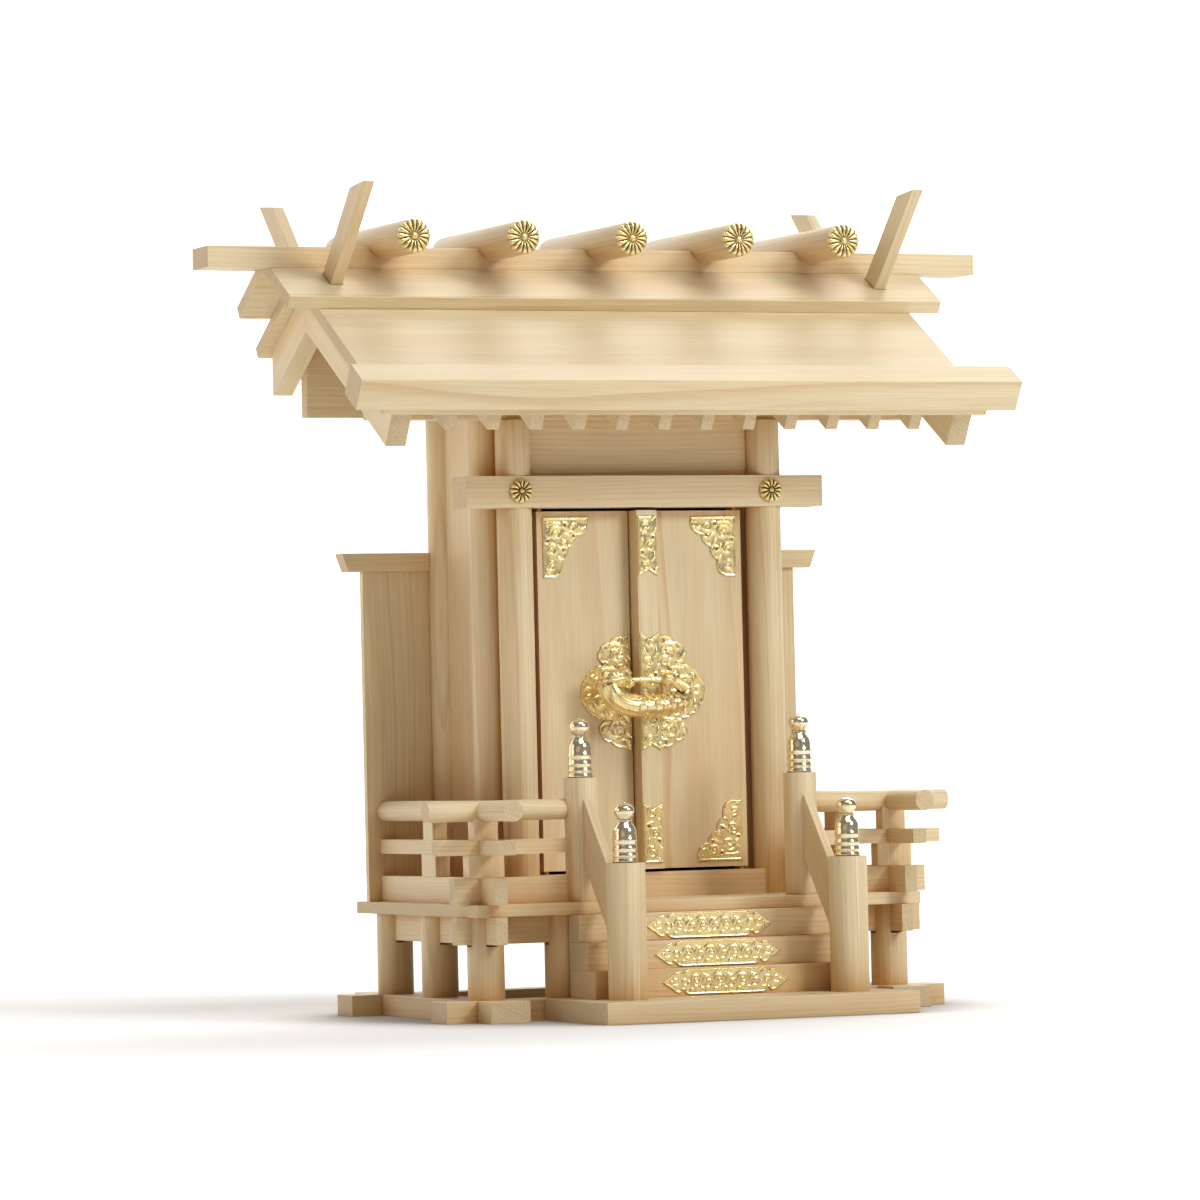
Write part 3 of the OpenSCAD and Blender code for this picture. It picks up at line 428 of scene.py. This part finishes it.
def nearest(points, line, closed=False):
    """Distance to a line of points, the nearest place on it and the width there."""
    line = np.array(line, float)
    ends = np.roll(line, -1, axis=0) if closed else line[1:]
    starts = line if closed else line[:-1]
    best = np.full(len(points), np.inf)
    place = points.copy()
    width = np.zeros(len(points))
    for a, b in zip(starts, ends):
        ab = b[:2] - a[:2]
        t = np.clip((points - a[:2]) @ ab / max(ab @ ab, 1e-12), 0, 1)
        spot = a[:2] + t[:, None] * ab
        gap = np.hypot(*(points - spot).T)
        closer = gap < best
        best[closer] = gap[closer]
        place[closer] = spot[closer]
        if len(a) > 2:
            width[closer] = (a[2] + t * (b[2] - a[2]))[closer]
    return best, place, width


def inside(points, loop):
    x, y = points.T
    hit = np.zeros(len(points), bool)
    for (ax, ay), (bx, by) in zip(loop, np.roll(loop, -1, axis=0)):
        if ay != by:
            hit ^= ((ay > y) != (by > y)) & (x < ax + (y - ay) * (bx - ax) / (by - ay))
    return hit


def relief_plate(outline, strokes, holes=(), step=0.3, base=0.75, relief=0.6, rim=1.1):
    """A pressed plate as points (x, y, height) in millimetres, and its faces."""
    outline = np.array(outline, float)
    low, high = outline.min(axis=0), outline.max(axis=0)
    nx, ny = (np.ceil((high - low) / step).astype(int) + 1)
    xs, ys = np.meshgrid(low[0] + step * np.arange(nx), low[1] + step * np.arange(ny), indexing="ij")
    points = np.stack([xs.ravel(), ys.ravel()], axis=1)
    gap, place, _ = nearest(points, outline, closed=True)
    depth = np.where(inside(points, outline), gap, -gap)
    for x, y, r in holes:
        away = points - np.array([x, y])
        far = np.maximum(np.hypot(*away.T), 1e-9)
        here = far - r < depth
        place[here] = (np.array([x, y]) + away / far[:, None] * r)[here]
        depth = np.minimum(depth, far - r)
    keep = depth > -0.72 * step
    snap = keep & (depth < 0.28 * step)
    points[snap] = place[snap]
    depth[snap] = 0
    height = base + 0.25 * np.exp(-((depth - rim * 0.55) / (rim * 0.42)) ** 2) * min(1.0, rim)
    for line in strokes:
        gap, _, width = nearest(points, line) if len(line) > 1 else (
            np.hypot(*(points - np.array(line[0][:2])).T), None, np.full(len(points), line[0][2]))
        swell = np.sqrt(np.clip(1 - (gap / np.maximum(width, 1e-6)) ** 2, 0, 1))
        height = np.maximum(height, base + relief * swell * np.clip(width, 0.35, 1.0))
    height = np.where(depth <= 0, base * 0.55, height)
    number = np.full(len(points), -1)
    index = np.arange(nx * ny).reshape(nx, ny)
    quads = np.stack([index[:-1, :-1], index[1:, :-1], index[1:, 1:], index[:-1, 1:]], axis=-1).reshape(-1, 4)
    quads = quads[keep[quads].all(axis=1)]
    quads = quads[(depth[quads] > 0).any(axis=1)]
    used = np.unique(quads)
    number[used] = np.arange(len(used))
    quads = number[quads]
    verts = [tuple(v) for v in np.column_stack([points[used], height[used]])]
    faces = [tuple(q) for q in quads.tolist()]
    edges = {}
    for q in faces:
        for a, b in zip(q, q[1:] + q[:1]):
            edges[(a, b)] = edges.get((a, b), 0) + 1
    foot = {}
    for a, b in list(edges):
        if (b, a) not in edges:
            for v in (a, b):
                if v not in foot:
                    foot[v] = len(verts)
                    verts.append((verts[v][0], verts[v][1], 0.0))
            faces.append((b, a, foot[a], foot[b]))
    return verts, faces


def lathe(profile, parts=64):
    """Points (x, y, height) and faces of a solid turned about its height."""
    verts, faces = [], []
    for r, z in profile:
        for i in range(parts):
            turn = 2 * math.pi * i / parts
            verts.append((r * math.cos(turn), r * math.sin(turn), z))
    for k in range(len(profile) - 1):
        for i in range(parts):
            j = (i + 1) % parts
            faces.append((k * parts + i, k * parts + j, (k + 1) * parts + j, (k + 1) * parts + i))
    return verts, faces


def flower(diameter, thickness, petals=16, rings=16, parts=192):
    """A chrysanthemum disc with a ring of round-ended petals and a bossed eye."""
    verts, faces = [], []
    for k in range(rings + 1):
        for i in range(parts):
            turn = 2 * math.pi * i / parts
            crest = abs(math.cos(petals / 2 * turn))
            edge = diameter / 2 * (0.93 + 0.07 * crest ** 0.6)
            t = k / rings
            r = edge * t
            petal = math.sqrt(max(0.0, crest)) * math.sin(math.pi * min(1, max(0, (t - 0.22) / 0.8))) ** 0.5
            eye = math.sqrt(max(0.0, 1 - (t / 0.24) ** 2)) * 0.62
            rise = 0.34 + 0.5 * petal if t > 0.22 else 0.34 + eye
            if k == rings:
                rise = 0.18
            verts.append((r * math.cos(turn), r * math.sin(turn), thickness * rise))
    for i in range(parts):
        turn = 2 * math.pi * i / parts
        verts.append((verts[rings * parts + i][0], verts[rings * parts + i][1], 0.0))
    for k in range(rings + 1):
        for i in range(parts):
            j = (i + 1) % parts
            faces.append((k * parts + i, k * parts + j, (k + 1) * parts + j, (k + 1) * parts + i)[::-1])
    return verts, faces


def to_front(x0, y0, z0):
    """Carries local x, y, height to a place that faces the front, in millimetres from the ridge line."""
    return lambda x, y, h: (x0 + x, y0 - h, z0 + y)


def to_top(x0, y0, z0):
    return lambda x, y, h: (x0 + x, y0 + y, z0 + h)


def make_piece(name, parts, material, body, replaces, crease=40):
    """One object from parts of (points, faces, carry)."""
    verts, faces = [], []
    for part_verts, part_faces, carry in parts:
        start = len(verts)
        for point in part_verts:
            x, y, z = carry(*point)
            verts.append((x * MM, y * MM + RIDGE_Y, z * MM))
        faces += [tuple(start + i for i in face) for face in part_faces]
    mesh = bpy.data.meshes.new(name)
    mesh.from_pydata(verts, [], faces)
    solid = bmesh.new()
    solid.from_mesh(mesh)
    bmesh.ops.remove_doubles(solid, verts=solid.verts, dist=0.001 * MM)
    bmesh.ops.recalc_face_normals(solid, faces=solid.faces)
    solid.to_mesh(mesh)
    solid.free()
    mesh.shade_smooth()
    mesh.set_sharp_from_angle(angle=math.radians(crease))
    mesh.materials.append(material)
    piece = bpy.data.objects.new(name, mesh)
    bpy.context.collection.objects.link(piece)
    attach(piece, body)
    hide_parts(replaces)
    return piece


def spots(node):
    """Low and high corner of a node in millimetres from the ridge line."""
    low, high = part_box(node)
    shift = Vector((0, RIDGE_Y, 0))
    return (Vector(low) - shift) / MM, (Vector(high) - shift) / MM


LOG_COUNT = 5


def make_log_caps():
    low, high = spots("log_caps")
    across = high.z - low.z
    first = low.x + across / 2
    pitch = (high.x - low.x - across) / (LOG_COUNT - 1)
    cap = flower(across, high.y - low.y)
    middle_z = (low.z + high.z) / 2
    parts = [(*cap, to_front(first + i * pitch, high.y, middle_z)) for i in range(LOG_COUNT)]
    make_piece("log_flower_caps", parts, gilt, "shrine", "log_caps")


def make_lintel_studs():
    low, high = spots("lintel_studs")
    across = high.z - low.z
    stud = flower(across, high.y - low.y, petals=12)
    middle_z = (low.z + high.z) / 2
    parts = [(*stud, to_front(side * (high.x - across / 2), high.y, middle_z)) for side in (-1, 1)]
    make_piece("lintel_flower_studs", parts, gilt, "shrine", "lintel_studs")


def step_plate_shape(width, height):
    half, h = width / 2, height / 2
    right = [(half - 2.25 * h, h), (half - 1.95 * h, h * 0.86), (half - 1.75 * h, h * 0.62),
             (half - 1.5 * h, h * 0.86), (half - 1.15 * h, h * 0.8), (half - 0.75 * h, h * 0.5),
             (half - 0.3 * h, h * 0.2), (half, 0)]
    right += [(x, -y) for x, y in right[-2::-1]]
    outline = right + [(-x, -y) for x, y in right]
    vine = []
    reach = half - 2.4 * h
    count = 6
    for i in range(count):
        x = -reach + (i + 0.5) * 2 * reach / count
        up = 1 if i % 2 else -1
        vine.append(spiral(x, -up * h * 0.12, h * 0.52, 90 * up, 1.35, up, 0.95))
        vine.append(leaf(x + h * 0.35, up * h * 0.42, 20 * up, h * 0.62, 0.75, 0.8 * up))
        vine.append(leaf(x - h * 0.3, up * h * 0.5, 160 * up, h * 0.5, 0.65, -0.8 * up))
        vine.append(leaf(x + h * 0.55, -up * h * 0.52, -15 * up, h * 0.4, 0.6, 0.6 * up))
    for side in (-1, 1):
        vine.append(spiral(side * (half - 1.9 * h), 0, h * 0.34, 0, 1.1, side, 0.8))
        vine.append([(side * (half - 0.75 * h), 0, 0.9)])
        vine.append(leaf(side * (half - 1.3 * h), h * 0.15, 90 - side * 50, h * 0.5, 0.6, -side))
        vine.append(leaf(side * (half - 1.3 * h), -h * 0.15, -90 + side * 50, h * 0.5, 0.6, side))
    return outline, vine


def make_step_plates():
    low, high = spots("step_plates")
    step_low = [spots(node) for node in ("upper_step", "middle_step", "lower_step")]
    height = STEP_PLATE_H
    parts = []
    shape = step_plate_shape(high.x - low.x, height)
    plate = relief_plate(*shape, step=0.3, base=0.55, relief=0.42, rim=1.0)
    for a, b in step_low:
        parts.append((*plate, to_front(0, a.y, (a.z + b.z) / 2)))
    make_piece("step_relief_plates", parts, gilt, "shrine", "step_plates")


def corner_shape(width, height):
    """Its corner at the origin, running right and down."""
    outline = [(0, 0), (width, 0), (width * 0.97, -height * 0.045), (width, -height * 0.1)]
    a = np.array((width * 0.98, -height * 0.13))
    b = np.array((width * 0.3, -height * 0.97))
    along = b - a
    out = np.array((-along[1], along[0])) / np.hypot(*along)
    out = out if out[0] > 0 else -out
    lobes = 4
    for i in range(1, 12 * lobes):
        t = i / (12 * lobes)
        bulge = math.sin(math.pi * ((t * lobes) % 1)) ** 0.6 * 1.9 - 3.2 * math.sin(math.pi * t)
        outline.append(tuple(a + along * t + out * bulge))
    outline += [tuple(b), (width * 0.24, -height), (0, -height)]
    s = width / 29
    vine = [
        spiral(8.2 * s, -9.5 * s, 4.6 * s, 200, 1.4, -1, 1.25 * s),
        spiral(18.2 * s, -5.6 * s, 3.4 * s, 160, 1.3, 1, 1.1 * s),
        spiral(5.4 * s, -19.0 * s, 3.3 * s, 100, 1.3, -1, 1.1 * s),
        spiral(5.0 * s, -28.6 * s, 2.7 * s, 80, 1.2, 1, 1.0 * s),
        leaf(12.5 * s, -13.4 * s, -35, 6.0 * s, 1.1 * s, -0.8),
        leaf(13.4 * s, -9.6 * s, -10, 6.5 * s, 1.0 * s, -0.9),
        leaf(9.4 * s, -16.6 * s, -70, 6.4 * s, 1.0 * s, 0.9),
        leaf(22.6 * s, -6.4 * s, -20, 4.2 * s, 0.9 * s, 0.9),
        leaf(9.4 * s, -23.2 * s, -60, 4.2 * s, 0.9 * s, 1.2),
        leaf(3.2 * s, -4.2 * s, 20, 8.0 * s, 0.9 * s, -0.5),
        leaf(2.8 * s, -6.0 * s, -100, 8.5 * s, 0.8 * s, 0.4),
        [(25.6 * s, -2.6 * s, 0.8 * s)], [(3.2 * s, -33.0 * s, 0.8 * s)], [(2.8 * s, -2.8 * s, 0.9 * s)]]
    holes = [(13.4 * s, -4.3 * s, 0.7 * s), (2.7 * s, -13.6 * s, 0.7 * s), (12.6 * s, -18.8 * s, 0.7 * s),
             (19.0 * s, -10.8 * s, 0.7 * s)]
    return outline, vine, holes


# A quarter of the door medallion's edge: four lobes with points between, from its side to its top
MEDAL_EDGE = (
    (39.5, 0), (39.1, 4.2), (37.4, 7.6), (36.4, 7.9), (35.6, 10.4), (32.4, 13.2), (31.2, 13.2), (28.6, 15.4),
    (24.4, 15.9), (26.6, 17.6), (28.4, 20.4), (28.0, 23.4), (26.8, 24.0), (25.8, 27.2), (22.6, 29.2), (21.2, 28.8),
    (18.2, 31.4), (14.2, 32.6), (13.0, 32.2), (9.0, 33.6), (4.5, 33.9), (0, 33.7))


def medal_shape(x0, x1):
    """The part of the four-lobed door medallion between two upright lines."""
    side = 1 if x0 > 0 else -1
    inner = min(abs(x0), abs(x1))
    quarter = [(x, y) for x, y in MEDAL_EDGE if x > inner]
    ring = [(x, -y) for x, y in quarter[:0:-1]] + quarter
    outline = [(side * inner, ring[0][1]), *[(side * x, y) for x, y in ring], (side * inner, ring[-1][1])]
    hollow = MEDAL_R * 0.36
    if hollow > inner:
        start = math.acos(inner / hollow)
        for i in range(17):
            turn = start * (1 - i / 8)
            outline.append((side * hollow * math.cos(turn), hollow * math.sin(turn)))
    stretch = MEDAL_EDGE[0][0] / MEDAL_R
    motif = [
        spiral(0.70, 0.14, 0.14, 200, 1.3, -1), spiral(0.70, -0.14, 0.14, 160, 1.3, 1),
        leaf(0.84, 0.17, 75, 0.15, 1.0, 1.0), leaf(0.84, -0.17, -75, 0.15, 1.0, -1.0),
        leaf(0.84, 0.05, 10, 0.10, 1.0, 0.3), leaf(0.84, -0.05, -10, 0.10, 1.0, -0.3),
        leaf(0.47, 0, 0, 0.13, 1.0, 0.0), leaf(0.50, 0.12, 60, 0.14, 1.0, -0.9),
        leaf(0.50, -0.12, -60, 0.14, 1.0, 0.9)]
    strokes = []
    holes = []
    for up in (-1, 1):
        strokes.append(spiral(side * 16.5, up * 22, 6.4, 90 - 60 * side * up, 1.5, side * up, 1.4))
        strokes.append(leaf(side * 24, up * 19.5, 90 - side * 50 * up - 90 * (1 - up), 7.0, 1.3, 0.8 * side * up))
        strokes.append(leaf(side * 9.5, up * 27, 90 * up, 6.0, 1.3, 0.4 * side * up))
        holes.append((side * 13, up * 29.5, 1.1))
    for i in range(8):
        size = MEDAL_R * (0.98 if i % 2 == 0 else 0.86)
        for line in turned(motif, 45 * i):
            strokes.append([(x * size * stretch, y * size, w * 1.25) for x, y, w in line])
        for radius, angle in ((0.60, 22.5), (0.56, 0)):
            turn = math.radians(45 * i + angle)
            x, y = radius * MEDAL_R * stretch * math.cos(turn), radius * MEDAL_R * math.sin(turn)
            if x * side > inner + 2:
                holes.append((x, y, 1.2))
    return outline, strokes, holes


def stile_shape(width, height, notch_low, notch_high):
    half, h = width / 2, height / 2
    dip = width * 0.28
    outline = [(-half, -h), (0, -h + dip * notch_low), (half, -h), (half, h), (0, h - dip * notch_high), (-half, h)]
    strokes = []
    count = max(2, round(height / (width * 0.95)))
    for i in range(count):
        y = -h + (i + 0.5) * height / count
        hand = 1 if i % 2 else -1
        strokes.append(spiral(hand * width * 0.08, y, width * 0.27, 90 * hand, 1.35, hand, 1.0))
        strokes.append(leaf(-hand * width * 0.25, y + width * 0.3, 80 + 30 * hand, width * 0.4, 0.9, -hand * 0.8))
        strokes.append(leaf(-hand * width * 0.3, y - width * 0.3, -70 * hand, width * 0.35, 0.8, hand * 0.8))
    holes = [(-width * 0.28, -h * 0.22, 0.7), (width * 0.26, h * 0.28, 0.7)]
    return outline, strokes, holes


def make_left_plates():
    low, high = spots("left_door_plates")
    corner = relief_plate(*corner_shape(CORNER_W, CORNER_H))
    medal = relief_plate(*medal_shape(-MEDAL_EDGE[0][0], high.x), step=0.36)
    parts = [(*corner, to_front(low.x, high.y, high.z)),
             (*medal, to_front(0, high.y, MEDAL_Z))]
    make_piece("left_leaf_plates", parts, gilt, "left_leaf", "left_door_plates")


def make_right_plates():
    low, high = spots("right_door_plates")
    leaf_low, _ = spots("right_door")
    corner = relief_plate(*corner_shape(CORNER_W, CORNER_H))
    stile_face = leaf_low.y
    end_plate = relief_plate(*stile_shape(STILE_W, STILE_PLATE_H, 1, 0))
    mid_plate = relief_plate(*stile_shape(STILE_W, 2 * MEDAL_R, 1, 1))
    medal = relief_plate(*medal_shape(STILE_W / 2 + 1.2, MEDAL_EDGE[0][0]), step=0.36)
    face = leaf_low.y + STILE_OUT
    flip_x = lambda carry: (lambda x, y, h: carry(-x, y, h))
    flip_both = lambda carry: (lambda x, y, h: carry(-x, -y, h))
    flip_y = lambda carry: (lambda x, y, h: carry(x, -y, h))
    parts = [
        (*corner, flip_x(to_front(high.x, face, high.z))),
        (*corner, flip_both(to_front(high.x, face, low.z))),
        (*medal, to_front(0, face, MEDAL_Z)),
        (*end_plate, to_front(0, stile_face, high.z - STILE_PLATE_H / 2)),
        (*end_plate, flip_y(to_front(0, stile_face, low.z + STILE_PLATE_H / 2))),
        (*mid_plate, to_front(0, stile_face, MEDAL_Z))]
    make_piece("right_leaf_plates", parts, gilt, "right_leaf", "right_door_plates")


# Middle line of the padlock's body from its head to its tail: x, height above the bar, radius
LOCK_LINE = (
    (-30.5, -2.0, 5.6), (-27.6, -8.4, 6.6), (-20.4, -13.0, 6.4), (-10.0, -14.8, 6.7), (1.4, -14.6, 6.8),
    (11.0, -13.4, 6.6), (17.2, -10.6, 5.8), (18.4, -6.4, 4.4), (14.8, -2.6, 3.4), (9.0, -0.4, 2.8))
LOCK_CURLS = (
    (-25.0, 1.2, 9.4, 6.2), (-31.6, 3.0, 4.4, 3.8), (-19.6, 4.4, 4.2, 3.2), (-16.8, -1.4, 3.4, 3.2),
    (-31.4, -3.8, 4.2, 3.6), (7.7, 0.6, 5.4, 4.2))


# Where along the body its scales start and end, and how many rows there would be on its whole length
SCALES_FROM, SCALES_TO = 0.3, 0.8
SCALE_ROWS = 20
SCALES_ROUND = 7
NECK_RIDGES = 12


def lock_surface(along, round_it):
    """Overlapping scales on the belly, long ridges on the neck and the tail."""
    if not SCALES_FROM < along < SCALES_TO:
        return 1 + 0.05 * math.cos(2 * math.pi * round_it * NECK_RIDGES)
    place = (along - SCALES_FROM) * SCALE_ROWS
    row = math.floor(place)
    across = (round_it * SCALES_ROUND + 0.5 * (row % 2)) % 1
    edge = 1 - abs(2 * across - 1) ** 2
    fall = (place % 1) - 0.35 * (1 - edge)
    return 0.84 + 0.16 * max(0.0, 1 - fall % 1) * (0.3 + 0.7 * edge)


def make_lock():
    """A shrimp-shaped padlock: a carved head, a scaled body curling under to its tail, and the bar between."""
    low, high = spots("door_lock")
    bar_z = high.z - BAR_DROP
    middle_depth = (high.y - low.y) / 2
    on_body = to_front(0, high.y - middle_depth, bar_z)
    parts = [(*tube(smooth(LOCK_LINE, 20), 60, lock_surface), on_body)]
    for x, y, rx, ry in LOCK_CURLS:
        parts.append((*ball(x, y, 0, rx, ry, min(middle_depth, (rx + ry) / 2), lumps=0.07), on_body))
    bar_line = []
    for i in range(65):
        t = i / 64
        collar = 0.5 if i % 16 in (7, 8, 9) else 0.0
        bar_line.append((-20 + 27 * t, 0.3, 1.4 + 0.5 * t + collar))
    parts.append((*tube(bar_line, 24), on_body))
    for side in (-1, 1):
        foot = lathe([(0, 0), (2.2, 0), (2.2, middle_depth), (0, middle_depth)], 24)
        parts.append((*foot, to_front(-8 + side * 9, high.y, bar_z - (0 if side < 0 else 14))))
    make_piece("shrimp_padlock", parts, gilt, "right_leaf", "door_lock")


FINIAL_PROFILE = (
    (0.0, 0.0), (0.97, 0.0), (1.0, 0.012), (1.0, 0.045), (0.93, 0.06), (0.93, 0.085), (0.99, 0.10), (0.99, 0.135),
    (0.93, 0.15), (0.93, 0.19), (0.97, 0.205), (0.97, 0.25), (0.93, 0.265), (0.93, 0.33), (0.96, 0.345),
    (0.96, 0.395), (0.92, 0.41), (0.93, 0.49), (0.90, 0.535), (0.80, 0.585), (0.68, 0.625), (0.58, 0.65),
    (0.55, 0.67), (0.62, 0.68), (0.62, 0.70), (0.54, 0.712), (0.60, 0.735), (0.72, 0.77), (0.79, 0.815),
    (0.80, 0.855), (0.76, 0.895), (0.64, 0.93), (0.46, 0.952), (0.26, 0.966), (0.14, 0.974), (0.12, 0.985),
    (0.08, 0.995), (0.0, 1.0))


def make_finials():
    low, high = spots("stair_post_finials")
    rear_z = high.z - FINIAL_H
    radius = FINIAL_D / 2
    profile = [(r * radius, z * FINIAL_H) for r, z in FINIAL_PROFILE]
    shape = lathe(profile, 72)
    parts = []
    for side in (-1, 1):
        x = side * (high.x - radius)
        parts.append((*shape, to_top(x, high.y - radius, rear_z)))
        parts.append((*shape, to_top(x, low.y + radius, low.z)))
    make_piece("onion_finials", parts, pale_gilt, "shrine", "stair_post_finials", crease=50)


# Studio

FLOOR_HALF = 9.0
FLOOR_FRONT = -9.0
FLOOR_BACK = 3.0
SWEEP_RADIUS = 1.5
SWEEP_PARTS = 16
WALL_TOP = 6.0
# The paper glows faintly, so that it stays white: the wall most, the floor more away from the shrine
GLOW_FROM = 0.5
GLOW_FULL = 3.0
WALL_GLOW = 0.8
FLOOR_GLOW = 0.06
RIM_FROM = 0.30
RIM_FULL = 0.60
RIM_GLOW = 0.14
# The paper is drawn a little darker close to the shrine, as its contact shadow is in the photo
CONTACT_SHADE = (0.45, 0.43, 0.41, 1)
CONTACT_REACH = 0.12


def make_stage():
    profile = [(FLOOR_FRONT, 0.0), (FLOOR_BACK, 0.0)]
    for i in range(1, SWEEP_PARTS + 1):
        turn = math.pi / 2 * i / SWEEP_PARTS
        profile.append((FLOOR_BACK + SWEEP_RADIUS * math.sin(turn), SWEEP_RADIUS * (1 - math.cos(turn))))
    profile.append((FLOOR_BACK + SWEEP_RADIUS, WALL_TOP))
    mesh = bpy.data.meshes.new("floor")
    points = [(x, y, z) for y, z in profile for x in (-FLOOR_HALF, FLOOR_HALF)]
    faces = [(2 * i, 2 * i + 1, 2 * i + 3, 2 * i + 2) for i in range(len(profile) - 1)]
    mesh.from_pydata(points, [], faces)
    mesh.shade_smooth()
    floor = bpy.data.objects.new("floor", mesh)
    bpy.context.collection.objects.link(floor)
    material, tree, shader = new_material("floor_paper")
    point = add(tree, "ShaderNodeTexCoord").outputs["Object"]
    speck = add(tree, "ShaderNodeTexNoise", {"Vector": point, "Scale": 40.0}).outputs[0]
    tone = blend_colour(tree, speck, (0.96, 0.96, 0.96, 1), (0.98, 0.98, 0.98, 1))
    contact = rescale(tree, openness(tree, CONTACT_REACH, 16), 0.6, 1.0, 1.0, 0.0)
    tree.links.new(blend_colour(tree, contact, tone, CONTACT_SHADE), shader.inputs["Base Color"])
    shader.inputs["Roughness"].default_value = 1.0
    shader.inputs["Specular IOR Level"].default_value = 0.0
    wall_share = rescale(tree, parts_of(tree, point)[1], GLOW_FROM, GLOW_FULL)
    away = add(tree, "ShaderNodeVectorMath", {0: point}, operation="LENGTH").outputs["Value"]
    rim_glow = rescale(tree, away, RIM_FROM, RIM_FULL, FLOOR_GLOW, RIM_GLOW)
    shader.inputs["Emission Color"].default_value = (1, 1, 1, 1)
    glow = calc(tree, "ADD", calc(tree, "MULTIPLY", wall_share, WALL_GLOW), rim_glow)
    tree.links.new(glow, shader.inputs["Emission Strength"])
    mesh.materials.append(material)


WHITE = (1.0, 1.0, 1.0)
WARM = (1.0, 0.75, 0.50)
CREAM = (1.0, 0.82, 0.62)
WORLD_STRENGTH = 0.035
# Below 1, the middle tones deepen while white stays white
DISPLAY_GAMMA = 0.88
# Soft boxes: place in metres, height they look at over the middle of the floor, size, watts, colour
SOFT_BOXES = {
    "top_back": ((1.2, 1.4, 2.4), 0.3, (1.8, 1.4), 32, WHITE),
    "top_front": ((0.2, -1.4, 2.6), 0.2, (1.8, 1.2), 34, WHITE),
    "key_right": ((1.5, -2.6, 1.8), 0.2, (1.0, 1.0), 46, WHITE),
    "side_left": ((-2.8, 0.4, 1.0), 0.25, (1.2, 1.4), 12, WARM),
    "front_card": ((-2.6, -3.0, 0.9), 0.2, (2.6, 1.6), 5, CREAM),
}


def area_light(name, place, aim_z, size, power, colour):
    data = bpy.data.lights.new(name, "AREA")
    data.shape = "RECTANGLE"
    data.size, data.size_y = size
    data.energy = power
    data.color = colour
    light = bpy.data.objects.new(name, data)
    light.location = place
    light.rotation_euler = (Vector((0, 0, aim_z)) - Vector(place)).to_track_quat("-Z", "Y").to_euler()
    bpy.context.collection.objects.link(light)


def make_lights():
    world = bpy.data.worlds.new("studio")
    bpy.context.scene.world = world
    world.use_nodes = True
    back = world.node_tree.nodes["Background"]
    back.inputs["Color"].default_value = (1, 1, 1, 1)
    back.inputs["Strength"].default_value = WORLD_STRENGTH
    for name, box in SOFT_BOXES.items():
        area_light(name, *box)


bpy.context.scene.view_settings.view_transform = "Standard"
bpy.context.scene.view_settings.gamma = DISPLAY_GAMMA
make_camera()
make_stage()
make_lights()
dress_wood()
make_log_caps()
make_lintel_studs()
make_step_plates()
make_left_plates()
make_right_plates()
make_lock()
make_finials()
